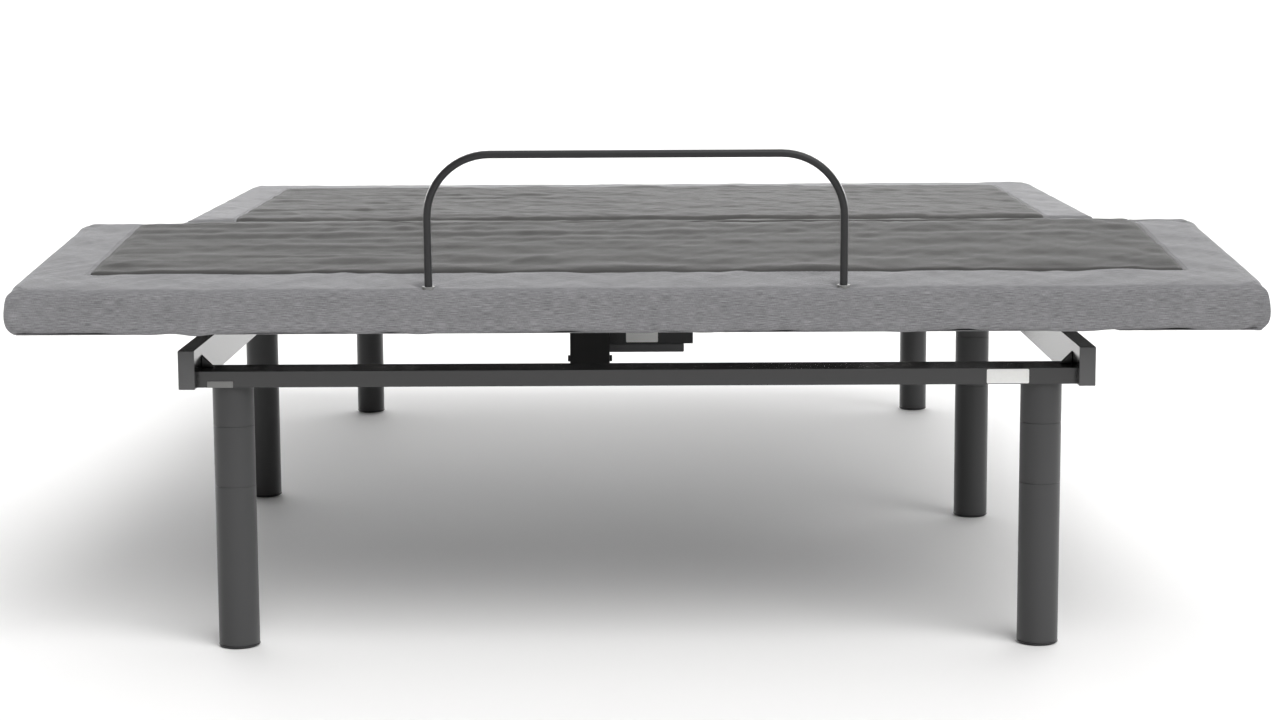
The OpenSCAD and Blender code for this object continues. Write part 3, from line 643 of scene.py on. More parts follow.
@dataclass(frozen=True)
class SectionFrame:
    """A section's own frame: X across, S along it from its hinge, H up from the
    underside of its board."""

    y: float
    z: float
    tilt: float
    way: int

    def world(self, points: Array) -> Array:
        """Turns (x, s, h) points into row-frame points."""
        x, s, h = points.T
        c, d = math.cos(self.tilt), math.sin(self.tilt)
        return np.stack([x, self.y + self.way * (s * c - h * d), self.z + s * d + h * c], 1)

    def local(self, points: Array) -> Array:
        """Turns row-frame points into (x, s, h) points."""
        x, y, z = points.T
        c, d = math.cos(self.tilt), math.sin(self.tilt)
        along, up = (y - self.y) * self.way, z - self.z
        return np.stack([x, along * c + up * d, up * c - along * d], 1)

    def extent(self, node: str) -> tuple[Array, Array]:
        """The lowest and highest (x, s, h) of a CAD node."""
        points = self.local(node_points(node))
        return points.min(0), points.max(0)


class Joints:
    """The hinges' places and the drawn angles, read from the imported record."""

    AXIS_ABOVE_BOARD = 0.022
    KNEE_BELOW_BOARD = 0.004

    def __init__(self) -> None:
        """Reads the joints."""
        rows = {row["name"]: row for row in frame["joints"]}
        self.head = rows["head_lift"]["pos_m"]
        self.thigh = rows["thigh_lift"]["pos_m"]
        self.knee = rows["knee_fold"]["pos_m"]
        back, up = self.thigh[1] - self.knee[1], self.knee[2] - self.thigh[2]
        drop = self.AXIS_ABOVE_BOARD + self.KNEE_BELOW_BOARD
        along = math.sqrt(back ** 2 + up ** 2 - drop ** 2)
        couplings = frame["record"]["behaviour"]["couplings"]
        ratio = next(c["ratio"] for c in couplings if c["joint"] == "knee_fold")
        self.thigh_tilt = math.atan2(up, back) + math.atan2(drop, along)
        self.foot_tilt = self.thigh_tilt * (ratio - 1)

    def section(self, name: str) -> SectionFrame:
        """The frame of a section.

        Args:
            name: Head, seat, thigh or foot.

        Returns:
            Its frame at rest.
        """
        if name == "head":
            return SectionFrame(self.head[1], self.head[2] - self.AXIS_ABOVE_BOARD, 0.0, 1)
        if name == "seat":
            return SectionFrame(self.thigh[1], self.thigh[2] - self.AXIS_ABOVE_BOARD, 0.0, 1)
        if name == "thigh":
            t, drop = self.thigh_tilt, self.AXIS_ABOVE_BOARD
            return SectionFrame(self.thigh[1] - drop * math.sin(t),
                                self.thigh[2] - drop * math.cos(t), t, -1)
        t, rise = self.foot_tilt, self.KNEE_BELOW_BOARD
        return SectionFrame(self.knee[1] - rise * math.sin(t),
                            self.knee[2] + rise * math.cos(t), -t, -1)


def roll_edge(inset: Array, depth: Array, radius: float) -> tuple[Array, Array]:
    """Rolls a square edge round to a radius.

    Args:
        inset: Distances in from the side.
        depth: Distances in from the face.
        radius: The edge's radius.

    Returns:
        The new insets and depths.
    """
    a, b = radius - inset, radius - depth
    near = (a > 0) & (b > 0)
    scale = np.where(near, np.maximum(a, b) / np.maximum(np.hypot(a, b), 1e-9), 1.0)
    return radius - a * scale, radius - b * scale


def lattice_lines(low: float, high: float, step: float, marks: list[float]) -> Array:
    """Places lattice lines: even steps, closer at both ends, and some at marks.

    Args:
        low: The first line.
        high: The last line.
        step: The even spacing.
        marks: Lines that have to be there.

    Returns:
        The sorted places.
    """
    ends = [0.0, 0.0015, 0.0035, 0.006, 0.009, 0.013, 0.019]
    fixed = [low + e for e in ends] + [high - e for e in ends] + marks
    kept: list[float] = []
    for place in sorted(fixed):
        if not kept or place - kept[-1] > 0.0007:
            kept.append(place)
    fixed_lines = np.array(kept)
    even = np.linspace(low, high, max(2, round((high - low) / step)) + 1)
    gaps = np.abs(even[:, None] - fixed_lines[None, :]).min(1)
    return np.sort(np.concatenate([fixed_lines, even[gaps > 0.55 * step]]))


@dataclass
class PaddedSection:
    """One upholstered section: a padded cover and the inset cloth on it."""

    name: str
    body: str
    seed: int
    hinge_radius: float
    outer_radius: float
    hinge_corner: float
    outer_corner: float
    side_radius: float = 0.009
    hem_radius: float = 0.004
    step: float = 0.012
    outer_fold: bool = True
    tuck_in: float = 0.012
    inset_thickness: float = 0.0009
    inset_wrinkle: float = 0.00042
    swell: float = 0.0012
    pinch: float = 0.004
    folds: list[tuple[float, float]] = field(default_factory=list)

    EDGE_BAND = 0.012
    GROOVE_DEPTH, GROOVE_SHIFT, GROOVE_WIDTH = 0.0016, 0.001, 0.0028
    BROAD_FOLD, FINE_FOLD = 0.0005, 0.0003
    END_BULGE, SIDE_BULGE, WALL_WAVE = 0.0009, 0.0005, 0.0007
    HEM_BAND, HEM_WAVE, HEM_OUT, HEM_IN = 0.012, 0.0010, 0.004, -0.026
    DIMPLE_DEPTH, DIMPLE_REACH = 0.0030, 0.011
    RAY_HEIGHT, RAY_REACH, RAY_COUNT = 0.0012, 0.026, 5
    PLEAT_DEPTH, PLEAT_TURNS, CORNER_BULGE, CORNER_PULL = 0.0012, 13, 0.0016, 0.0085
    PRESSURE, CLOTH_FRAMES = 3.0, 12
    INSET_OVERHANG, INSET_GAP, INSET_REST = 0.0012, 0.0009, 0.0010
    RIM_BAND, CAST_FROM, CAST_REACH = 0.014, 0.012, 0.03
    PUCKER_HEIGHT, PUCKER_RING, PUCKER_WIDTH = 0.0016, 0.085, 0.03

    def measure(self, place: SectionFrame) -> None:
        """Reads the sizes of the section's CAD solids.

        Args:
            place: The section's frame.
        """
        self.place = place
        self.low, self.high = place.extent(f"{self.name}_pad")
        self.board_low, self.board_high = place.extent(f"{self.name}_board")
        self.inset_high = place.extent(f"{self.name}_inset")[1]
        self.half = float(self.high[0])
        self.top = float(self.high[2])

    def has_outer_end(self) -> bool:
        """True for the sections whose far end is an end of the bed."""
        return self.outer_corner > 0.03

    def seam_offset(self, x: Array, s: Array) -> Array:
        """Distance outside the inset's outline, negative inside it."""
        dx = np.abs(x) - self.inset_high[0]
        return dx if self.outer_fold else np.maximum(dx, s - self.inset_high[1])

    def lattice(self) -> tuple[Array, list, Array]:
        """Makes the cover's square lattice.

        Returns:
            Its (x, s, h) points, its faces, and each face's pair of map axes.
        """
        seam = [k * m for k in (-1, 1) for m in (0.0, 0.0025, -0.0025, 0.006, -0.006)]
        edge, wall = float(self.board_high[0]), 0.0006
        x_marks = [side * (float(self.inset_high[0]) + m) for side in (-1, 1) for m in seam]
        x_marks += [side * (edge + m) for side in (-1, 1) for m in (0.0, wall)]
        s_marks = [float(self.inset_high[1]) + m for m in seam]
        s_marks += [float(self.board_low[1]) - m for m in (0.0, wall)]
        s_marks += [float(self.board_high[1]) + m for m in (0.0, wall)]
        lines = [lattice_lines(-self.half, self.half, self.step, x_marks),
                 lattice_lines(float(self.low[1]), float(self.high[1]), self.step,
                               [m for m in s_marks if self.low[1] < m < self.high[1]]),
                 lattice_lines(0.0, self.top, 0.009, [])]
        counts = [len(line) for line in lines]
        grid = np.stack(np.meshgrid(*lines, indexing="ij"), -1)
        shell = np.ones(counts, bool)
        shell[1:-1, 1:-1, 1:-1] = False
        number = np.full(counts, -1)
        number[shell] = np.arange(shell.sum())
        faces, axes = [], []
        for axis in range(3):
            u, v = [a for a in range(3) if a != axis]
            for end in (0, -1):
                sheet = np.take(number, end, axis)
                quads = np.stack([sheet[:-1, :-1], sheet[1:, :-1], sheet[1:, 1:],
                                  sheet[:-1, 1:]], -1).reshape(-1, 4)
                faces += quads.tolist()
                axes += [(u, v)] * len(quads)
        return grid[shell], faces, np.array(axes)

    def rounded(self, square: Array) -> Array:
        """Rolls the lattice's edges round, and its corners at the hinge.

        Args:
            square: The square lattice's (x, s, h) points.

        Returns:
            The same points on the rounded form.
        """
        x, s, h = square.T.copy()
        side = self.half - np.abs(x)
        new_side, drop_x = roll_edge(side, self.top - h, self.side_radius)
        hem_side, lift_x = roll_edge(side, h, self.hem_radius)
        start, end = s - self.low[1], self.high[1] - s
        new_start, drop_0 = roll_edge(start, self.top - h, self.hinge_radius)
        new_end, drop_1 = roll_edge(end, self.top - h, self.outer_radius)
        hem_start, lift_0 = roll_edge(start, h, self.hem_radius)
        hem_end, lift_1 = roll_edge(end, h, self.hem_radius)
        upper = h > self.top / 2
        x = np.sign(x) * (self.half - np.where(upper, new_side, hem_side))
        s = s + np.where(upper, new_start - start, hem_start - start)
        s = s - np.where(upper, new_end - end, hem_end - end)
        highest = self.top - np.maximum.reduce([drop_x, drop_0, drop_1])
        lowest = np.maximum.reduce([lift_x, lift_0, lift_1])
        h = np.where(upper, highest, lowest)
        radius = self.hinge_corner
        a, b = np.abs(x) - (self.half - radius), self.low[1] + radius - s
        corner = (a > 0) & (b > 0)
        scale = np.maximum(a, b) / np.maximum(np.hypot(a, b), 1e-9)
        x = np.where(corner, np.sign(x) * (self.half - radius + a * scale), x)
        s = np.where(corner, self.low[1] + radius - b * scale, s)
        return np.stack([x, s, h], 1)

    def cover(self) -> bpy.types.Object:
        """Builds the padded cover, a closed form with the board's bed under it.

        Returns:
            The cover.
        """
        square, faces, axes = self.lattice()
        points = self.rounded(square)
        under = square[:, 2] < 1e-6
        bed = under & (np.abs(square[:, 0]) <= self.board_high[0] + 1e-6)
        bed &= (square[:, 1] >= self.board_low[1] - 1e-6)
        bed &= (square[:, 1] <= self.board_high[1] + 1e-6)
        points[bed] = square[bed]
        points[bed, 2] = self.board_high[2]
        mesh = mesh_from(f"{self.name}_cover", self.place.world(points), faces)
        corners, across = corner_points(mesh), np.repeat(axes, 4, 0)
        lay_out(mesh, np.stack([square[corners, across[:, 0]],
                                square[corners, across[:, 1]]], 1))
        piece = add_object(f"{self.name}_cover", mesh, BORDER_CLOTH)
        pinned = piece.vertex_groups.new(name="held")
        held = (square[:, 2] < self.top * 0.2) | self.near_hinge(square)
        pinned.add([int(i) for i in np.nonzero(held)[0]], 1.0, "REPLACE")
        self.inflate(piece)
        smoothing = piece.modifiers.new("Subdivision", "SUBSURF")
        smoothing.subdivision_type = "SIMPLE"
        smoothing.levels = smoothing.render_levels = 1
        applied(piece)
        self.sculpt(piece)
        return piece

    def near_hinge(self, points: Array) -> Array:
        """True where the cover has to keep clear of the next section."""
        return points[:, 1] < self.low[1] + 0.004

    def inflate(self, piece: bpy.types.Object) -> None:
        """Fills the cover out with a short cloth simulation, held to a limit.

        Args:
            piece: The cover, with its held points in a vertex group.
        """
        rest = points_of(piece.data)
        cloth = piece.modifiers.new("Cloth", "CLOTH")
        settings = cloth.settings
        settings.vertex_group_mass = "held"
        settings.use_pressure = True
        settings.uniform_pressure_force = self.PRESSURE
        settings.effector_weights.gravity = 0.0
        settings.quality = 4
        settings.tension_stiffness = settings.compression_stiffness = 20.0
        settings.bending_stiffness = 1.5
        settings.shrink_min = -0.004
        cloth.point_cache.frame_start, cloth.point_cache.frame_end = 1, self.CLOTH_FRAMES
        scene = bpy.context.scene
        for step in range(1, self.CLOTH_FRAMES + 1):
            scene.frame_set(step)
        graph = bpy.context.evaluated_depsgraph_get()
        moved = points_of(piece.evaluated_get(graph).data)
        piece.modifiers.remove(cloth)
        scene.frame_set(1)
        shift = moved - rest
        size = np.linalg.norm(shift, axis=1, keepdims=True)
        soft = self.swell * np.tanh(size / self.swell)
        set_points(piece.data, rest + shift / np.maximum(size, 1e-9) * soft)

    def sculpt(self, piece: bpy.types.Object) -> None:
        """Adds the seam's groove, soft folds, a wavy hem and puckers round the bar.

        Args:
            piece: The cover, already smoothed.
        """
        p = self.place.local(points_of(piece.data))
        x, s, h = p.T.copy()
        offset = self.seam_offset(x, s)
        topside = np.clip((h - self.top * 0.6) / (self.top * 0.3), 0, 1)
        groove = self.GROOVE_DEPTH * np.exp(
            -((offset - self.GROOVE_SHIFT) / self.GROOVE_WIDTH) ** 2)
        soft = self.BROAD_FOLD * Ripples(self.seed, 0.16, 0.11).at(x, s)
        soft += self.FINE_FOLD * Ripples(self.seed + 1, 0.05, 0.05).at(x, s)
        edge = np.clip(np.minimum(self.half - np.abs(x), self.high[1] - s) / 0.02, 0, 1)
        h = h + topside * (soft * edge - groove)
        belly = np.sin(np.clip(h / self.top, 0, 1) * math.pi)
        face = Ripples(self.seed + 2, 0.21, 0.09)
        nudge = belly * (self.END_BULGE + self.WALL_WAVE * face.at(x, h * 1.5))
        at_end = np.clip((s - (self.high[1] - self.EDGE_BAND)) / self.EDGE_BAND, 0, 1)
        at_side = np.clip((np.abs(x) - (self.half - self.EDGE_BAND)) / self.EDGE_BAND, 0, 1)
        at_end = at_end * self.has_outer_end()
        s = s + nudge * at_end
        side_wave = belly * (self.SIDE_BULGE
                             + self.WALL_WAVE * face.at(s + 3.1, h * 1.5))
        x = x + np.sign(x) * side_wave * at_side
        hem = np.clip(1 - h / self.HEM_BAND, 0, 1) * np.maximum(at_end, at_side)
        bumps = Ripples(self.seed + 3, 0.19, 0.17).at(x, s)
        bumps += 0.8 * Ripples(self.seed + 4, 0.07, 0.07).at(x, s)
        h = h + hem * self.HEM_WAVE * (bumps - 0.6)
        x, s, h = self.tuck_corners(x, s, h)
        for fold_x, fold_s in self.folds:
            reach = np.hypot(x - fold_x, s - fold_s)
            angle = np.arctan2(s - fold_s, x - fold_x)
            dimple = self.DIMPLE_DEPTH * np.exp(-(reach / self.DIMPLE_REACH) ** 2)
            rays = self.RAY_HEIGHT * np.cos(angle * self.RAY_COUNT + fold_x * 9)
            rays = rays * np.exp(-(reach / self.RAY_REACH) ** 2)
            h = h - topside * (dimple - rays * np.clip(reach / 0.008, 0, 1))
        set_points(piece.data, self.place.world(np.stack([x, s, h], 1)))

    def tuck_corners(self, x: Array, s: Array, h: Array) -> tuple[Array, Array, Array]:
        """Pleats the cloth where it is folded round the outer corners.

        Args:
            x: Places across.
            s: Places along.
            h: Heights.

        Returns:
            The same, with the pleats pressed in.
        """
        if not self.has_outer_end():
            return x, s, h
        radius = self.outer_corner
        for side, phase in ((-1, 0.4), (1, 1.9)):
            cx, cs = side * (self.half - radius), self.high[1] - radius
            dx, ds = side * (x - cx), s - cs
            angle = np.arctan2(ds, dx)
            reach = np.hypot(dx, ds)
            band = np.exp(-((angle - math.pi / 4) / 0.55) ** 2)
            outer = np.clip((reach - radius * 0.72) / (radius * 0.25), 0, 1)
            low = np.clip(1.15 - h / self.top, 0, 1)
            pleat = np.cos(angle * self.PLEAT_TURNS + phase) * self.PLEAT_DEPTH * low
            height = np.clip(h / self.top, 0, 1)
            bulge = self.CORNER_BULGE * np.sin(height * math.pi)
            pulled = self.CORNER_PULL * np.abs(2 * height - 1) ** 3.5
            push = band * outer * (pleat + bulge - pulled)
            x = x + side * np.cos(angle) * push
            s = s + np.sin(angle) * push
        return x, s, h

    def inset_line(self) -> tuple[Array, Array]:
        """The inset's course along the section, rolled down into the folds.

        Returns:
            Its (s, h) points and the outward directions there.
        """
        def roll(edge: float, way: int, radius: float) -> list:
            """Points and outward directions up out of a fold and round its edge."""
            turns = np.linspace(math.pi / 2, 0, 9)
            down = [((edge, self.top - radius - d), (-way, 0.0))
                    for d in np.linspace(self.tuck_in, 0.002, 4)]
            return down + [((edge + way * radius * (1 - math.sin(t)),
                             self.top - radius * (1 - math.cos(t))),
                            (-way * math.sin(t), math.cos(t))) for t in turns]

        rows = roll(float(self.low[1]), 1, self.hinge_radius)
        flat_from = rows[-1][0][0]
        if self.outer_fold:
            last = roll(float(self.high[1]), -1, self.outer_radius)[::-1]
            flat_to = last[0][0][0]
        else:
            last, flat_to = [], float(self.inset_high[1]) + self.INSET_OVERHANG
        count = round((flat_to - flat_from) / 0.005)
        flat = np.linspace(flat_from, flat_to, count)[1:len(last) and -1 or None]
        rows += [((float(v), self.top), (0.0, 1.0)) for v in flat] + last
        points, ways = zip(*rows)
        return np.array(points), np.array(ways)

    def surface(self, cover: bpy.types.Object) -> BVHTree:
        """The cover's faces in the section's own frame, for casting rays at."""
        return BVHTree.FromPolygons([Vector(v) for v in self.place.local(
            points_of(cover.data))], [f.vertices[:] for f in cover.data.polygons])

    def inset(self, cover: bpy.types.Object) -> bpy.types.Object:
        """Builds the inset cloth: a thin sheet drawn over the cover.

        Args:
            cover: The finished cover.

        Returns:
            The inset.
        """
        half = float(self.inset_high[0]) + self.INSET_OVERHANG
        lines_x = np.linspace(-half, half, 231)
        line, ways = self.inset_line()
        n, m = len(lines_x), len(line)
        x = np.repeat(lines_x, m)
        at, out = np.tile(line, (n, 1)), np.tile(ways, (n, 1))
        outward = np.column_stack([np.zeros(n * m), out])
        run = np.concatenate([[0.0], np.cumsum(np.linalg.norm(np.diff(line, axis=0),
                                                              axis=1))])
        s = np.tile(run, n)
        tree = self.surface(cover)
        starts = np.column_stack([np.clip(x, -half + 0.004, half - 0.004), at])
        starts += outward * self.CAST_FROM
        base = np.array([tree.ray_cast(Vector(a), Vector(-b), self.CAST_REACH)[0]
                         or Vector(a - b * self.CAST_FROM)
                         for a, b in zip(starts, outward)])
        base[:, 0] = x
        depth = half - np.abs(x)
        if not self.outer_fold:
            depth = np.minimum(depth, run[-1] - s)
        rise = np.clip(depth / self.RIM_BAND, 0, 1) ** 0.6
        long = Ripples(self.seed + 7, 1.1, 0.060, 30).at(x, s)
        cross = Ripples(self.seed + 8, 0.55, 0.030, 30).at(x, s)
        sides = 0.3 + 0.7 * np.clip(0.5 - 0.75 * x / half, 0, 1) ** 1.4
        wrinkle = self.inset_wrinkle * (long * (0.3 + sides) + 0.35 * cross * sides)
        lift = self.INSET_GAP + rise * np.clip(out[:, 1], 0, 1) * np.maximum(
            self.INSET_REST + wrinkle, 0.0)
        for fold_x, fold_s in self.folds:
            reach = np.hypot(x - fold_x, at[:, 0] - fold_s)
            lift += rise * self.PUCKER_HEIGHT * np.exp(
                -((reach - self.PUCKER_RING) / self.PUCKER_WIDTH) ** 2)
        upper = base + outward * lift[:, None]
        lower = base + outward * (lift - self.inset_thickness)[:, None]
        number = np.arange(n * m).reshape(n, m)
        quads = np.stack([number[:-1, :-1], number[1:, :-1], number[1:, 1:],
                          number[:-1, 1:]], -1).reshape(-1, 4)
        rim = np.concatenate([number[:, 0], number[-1, 1:], number[-2::-1, -1],
                              number[0, -2:0:-1]])
        after = np.roll(rim, -1)
        walls = np.stack([rim, after, after + n * m, rim + n * m], 1)
        faces = quads.tolist() + (quads[:, ::-1] + n * m).tolist() + walls.tolist()
        both = np.concatenate([upper, lower])
        mesh = mesh_from(f"{self.name}_inset_cloth", self.place.world(both), faces)
        lay_out(mesh, np.column_stack([np.tile(x, 2), np.tile(s, 2)])[corner_points(mesh)])
        piece = add_object(f"{self.name}_inset_cloth", mesh, INSET_CLOTH)
        self.inset_size = (2 * half, float(run[-1]))
        return piece

    def seam_paths(self, cover: bpy.types.Object) -> list[Array]:
        """Courses of the top stitching, just outside the inset, on the cover.

        Args:
            cover: The finished cover.

        Returns:
            Each course's points, in the row frame.
        """
        out = 0.007
        half = float(self.inset_high[0]) + out
        s0 = float(self.low[1]) + self.hinge_radius
        s1 = float(self.inset_high[1]) + out
        courses = [[(-half, s0), (-half, s1)], [(half, s0), (half, s1)]]
        if not self.outer_fold:
            courses = [[(-half, s0), (-half, s1), (half, s1), (half, s0)]]
        tree = self.surface(cover)
        found = []
        for corners in courses:
            points = []
            for (xa, sa), (xb, sb) in zip(corners, corners[1:]):
                count = max(2, round(math.hypot(xb - xa, sb - sa) / 0.012))
                for t in np.linspace(0, 1, count):
                    start = Vector((xa + (xb - xa) * t, sa + (sb - sa) * t, self.top + 0.05))
                    hit = tree.ray_cast(start, Vector((0, 0, -1)))[0]
                    points.append((hit[0], hit[1], hit[2] + 0.0001))
            found.append(self.place.world(np.array(points)))
        return found

    def staple_path(self) -> Array:
        """Points round the board's underside where the cloth is stapled."""
        inset = 0.010
        x1, s1 = float(self.board_high[0]) - inset, float(self.board_high[1]) - inset
        s0 = float(self.board_low[1]) + inset
        corners = [(-x1, s0), (x1, s0), (x1, s1), (-x1, s1), (-x1, s0)]
        return self.place.world(np.array([(x, s, -0.0010) for x, s in corners]))

    def hem_strip(self) -> bpy.types.Object:
        """Builds the cloth that is turned under the board and stapled to it.

        Where the board beds on a side rail the cloth is let into the board.

        Returns:
            The strip.
        """
        outer_x = float(self.board_high[0]) + self.HEM_OUT
        inner_x = float(self.board_high[0]) + self.HEM_IN
        rows = []
        for x1, grow in ((outer_x, self.HEM_OUT), (inner_x, self.HEM_IN)):
            s0, s1 = float(self.board_low[1]) - grow, float(self.board_high[1]) + grow
            rows.append(self.ring(x1, s0, s1))
        middles = (rows[0] + rows[1]) / 2
        around = np.linalg.norm(np.roll(middles, -1, 0) - middles, axis=1).sum()
        self.hem_size = (outer_x - inner_x, float(around))
        wave = Ripples(self.seed + 5, 0.11, 0.13)
        n = len(rows[0])
        rows[1] += (rows[1] - rows[0]) * 0.11 * wave.at(*rows[1].T)[:, None]
        low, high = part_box("side_rail_right")
        middle = abs(low.x + high.x) / 2
        pinched = [np.where(np.abs(np.abs(row[:, 0]) - middle) < 0.030, self.pinch, 0.0)
                   for row in rows]
        tops = [np.column_stack([row, up - 0.0001]) for row, up in zip(rows, pinched)]
        bottoms = [np.column_stack([row, up - 0.0009]) for row, up in zip(rows, pinched)]
        points = np.concatenate(tops + bottoms)
        after = np.roll(np.arange(n), -1)
        here = np.arange(n)
        loops = [(0, 1), (1, 3), (3, 2), (2, 0)]
        faces = [quad for a, b in loops for quad in
                 np.stack([here + a * n, after + a * n, after + b * n, here + b * n],
                          1).tolist()]
        mesh = mesh_from(f"{self.name}_hem", self.place.world(points), faces)
        lay_out(mesh, points[corner_points(mesh), :2])
        return add_object(f"{self.name}_hem", mesh, BORDER_CLOTH)

    @staticmethod
    def ring(half: float, s0: float, s1: float, count: int = 90) -> Array:
        """Even points round a rectangle, the same number on each side."""
        t = np.linspace(0, 1, count, endpoint=False)
        ends = [(-half, s0), (half, s0), (half, s1), (-half, s1), (-half, s0)]
        sides = [np.stack([a[0] + (b[0] - a[0]) * t, a[1] + (b[1] - a[1]) * t], 1)
                 for a, b in zip(ends, ends[1:])]
        return np.concatenate(sides)

    def build(self, joints: Joints, repeats: "PathRepeats") -> None:
        """Builds, dresses and attaches every soft piece of the section.

        Args:
            joints: The hinges' places.
            repeats: Makes the stitches and staples.
        """
        self.measure(joints.section(self.name))
        cover = self.cover()
        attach(cover, self.body)
        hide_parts(f"{self.name}_pad")
        log.info("%s cover: %d faces", self.name, len(cover.data.polygons))
        inset = self.inset(cover)
        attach(inset, self.body)
        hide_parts(f"{self.name}_inset")
        log.info("%s inset cloth: %.3f by %.3f m", self.name, *self.inset_size)
        hem = self.hem_strip()
        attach(hem, self.body)
        stitches = repeats.along(f"{self.name}_stitches", self.seam_paths(cover), 0.0062,
                                 (0.0040, 0.0009, 0.0006), THREAD)
        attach(stitches, self.body)
        staples = repeats.along(f"{self.name}_staples", [self.staple_path()], 0.045,
                                (0.0110, 0.0012, 0.0008), STAPLE_WIRE)
        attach(staples, self.body)


# ------------------------------------------------------------- geometry nodes

class PathRepeats:
    """Sets small rounded bars along paths, with Geometry Nodes."""

    def __init__(self) -> None:
        """Builds the node tree."""
        tree = bpy.data.node_groups.new("Bars along a path", "GeometryNodeTree")
        face = tree.interface
        face.new_socket("Geometry", in_out="INPUT", socket_type="NodeSocketGeometry")
        self.sockets = {
            key: face.new_socket(key, in_out="INPUT", socket_type=kind).identifier
            for key, kind in (("Spacing", "NodeSocketFloat"), ("Size", "NodeSocketVector"),
                              ("Wobble", "NodeSocketFloat"), ("Seed", "NodeSocketInt"),
                              ("Finish", "NodeSocketMaterial"))}
        face.new_socket("Geometry", in_out="OUTPUT", socket_type="NodeSocketGeometry")
        bench = Bench(tree)
        source = bench.add("NodeGroupInput").outputs
        curve = bench.add("GeometryNodeMeshToCurve", {0: source["Geometry"]})
        even = bench.add("GeometryNodeResampleCurve", {
            "Curve": curve.outputs[0], "Length": source["Spacing"]}, mode="LENGTH")
        points = bench.add("GeometryNodeCurveToPoints", {0: even.outputs[0]}, mode="EVALUATED")
        ball = bench.add("GeometryNodeMeshUVSphere", {"Segments": 6, "Rings": 5, "Radius": 0.5})
        bar = bench.add("GeometryNodeTransform", {"Geometry": ball.outputs["Mesh"],
                                                  "Scale": source["Size"]})
        spread = bench.add("FunctionNodeRandomValue", {"Seed": source["Seed"]},
                           data_type="FLOAT_VECTOR")
        bench.fill(spread, {0: (-1, -1, -1), 1: (1, 1, 1)})
        less = bench.add("ShaderNodeVectorMath", {0: spread.outputs[0],
                                                  "Scale": source["Wobble"]}, operation="SCALE")
        wobble = bench.add("FunctionNodeEulerToRotation", {0: less.outputs[0]})
        align = bench.add("FunctionNodeAlignRotationToVector", {
            "Vector": points.outputs["Tangent"]}, axis="X")
        turn = bench.add("FunctionNodeRotateRotation", {0: align.outputs[0],
                                                        1: wobble.outputs[0]})
        place = bench.add("GeometryNodeInstanceOnPoints", {
            "Points": points.outputs["Points"], "Instance": bar.outputs[0],
            "Rotation": turn.outputs[0]})
        real = bench.add("GeometryNodeRealizeInstances", {0: place.outputs[0]})
        paint = bench.add("GeometryNodeSetMaterial", {"Geometry": real.outputs[0],
                                                      "Material": source["Finish"]})
        bench.add("NodeGroupOutput", {0: paint.outputs[0]})
        self.tree = tree

    def along(self, name: str, paths: list[Array], spacing: float,
              size: tuple[float, float, float], finish: Finish) -> bpy.types.Object:
        """Sets bars along paths.

        Args:
            name: The piece's name.
            paths: Each path's points, in the row frame.
            spacing: The distance between bars.
            size: A bar's length, width and height.
            finish: Its finish.

        Returns:
            The bars as one plain mesh.
        """
        mesh = bpy.data.meshes.new(name)
        edges, first = [], 0
        for path in paths:
            edges += [(first + i, first + i + 1) for i in range(len(path) - 1)]
            first += len(path)
        mesh.from_pydata(np.concatenate(paths).tolist(), edges, [])
        piece = add_object(name, mesh, finish)
        modifier = piece.modifiers.new("Repeats", "NODES")
        modifier.node_group = self.tree
        values = {"Spacing": spacing, "Size": size, "Wobble": 0.05, "Seed": 3,
                  "Finish": finish.build()}
        for key, value in values.items():
            modifier[self.sockets[key]] = value
        return applied(piece)


# ------------------------------------------------------------------ hard parts

@dataclass(frozen=True)
class EdgedPart:
    """A CAD node rebuilt with its sharp edges broken."""

    node: str
    finish: Finish
    edge: float = 0.0008
    segments: int = 2

    def build(self) -> bpy.types.Object:
        """Copies the node's solid, rounds its edges and puts it in its place."""
        source = frame["nodes"][self.node]
        solid = bmesh.new()
        solid.from_mesh(source.data)
        bmesh.ops.remove_doubles(solid, verts=solid.verts, dist=1e-6)
        bmesh.ops.dissolve_limit(solid, angle_limit=math.radians(0.6), verts=solid.verts,
                                 edges=solid.edges)
        bmesh.ops.recalc_face_normals(solid, faces=solid.faces)
        sharp = [e for e in solid.edges if len(e.link_faces) == 2
                 and e.calc_face_angle(0.0) > math.radians(38)]
        bmesh.ops.bevel(solid, geom=sharp, offset=self.edge, offset_type="OFFSET",
                        segments=self.segments, profile=0.5, affect="EDGES",
                        clamp_overlap=True)
        mesh = bpy.data.meshes.new(f"{self.node}_body")
        solid.to_mesh(mesh)
        solid.free()
        mesh.polygons.foreach_set("use_smooth", [True] * len(mesh.polygons))
        mesh.set_sharp_from_angle(angle=math.radians(50))
        piece = add_object(f"{self.node}_body", mesh, self.finish)
        shading = piece.modifiers.new("Weighted normals", "WEIGHTED_NORMAL")
        shading.keep_sharp = True
        body = source.parent.name.removeprefix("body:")
        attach(piece, body)
        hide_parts(self.node)
        return piece


def lathe(profile: list[tuple[float, float]], centre: tuple[float, float],
          sides: int = 56) -> tuple[Array, list]:
    """Turns a closed profile round an upright axis.

    Args:
        profile: Radius and height pairs, going round the solid's half section.
        centre: The axis's x and y.
        sides: Flats round the axis.

    Returns:
        Points and faces.
    """
    angles = np.linspace(0, 2 * math.pi, sides, endpoint=False)
    points = [(centre[0] + r * math.cos(a), centre[1] + r * math.sin(a), z)
              for r, z in profile for a in angles]
    rows = len(profile)
    faces = []
    for i in range(rows):
        j = (i + 1) % rows
        for k in range(sides):
            m = (k + 1) % sides
            faces.append((i * sides + k, i * sides + m, j * sides + m, j * sides + k))
    return np.array(points), faces


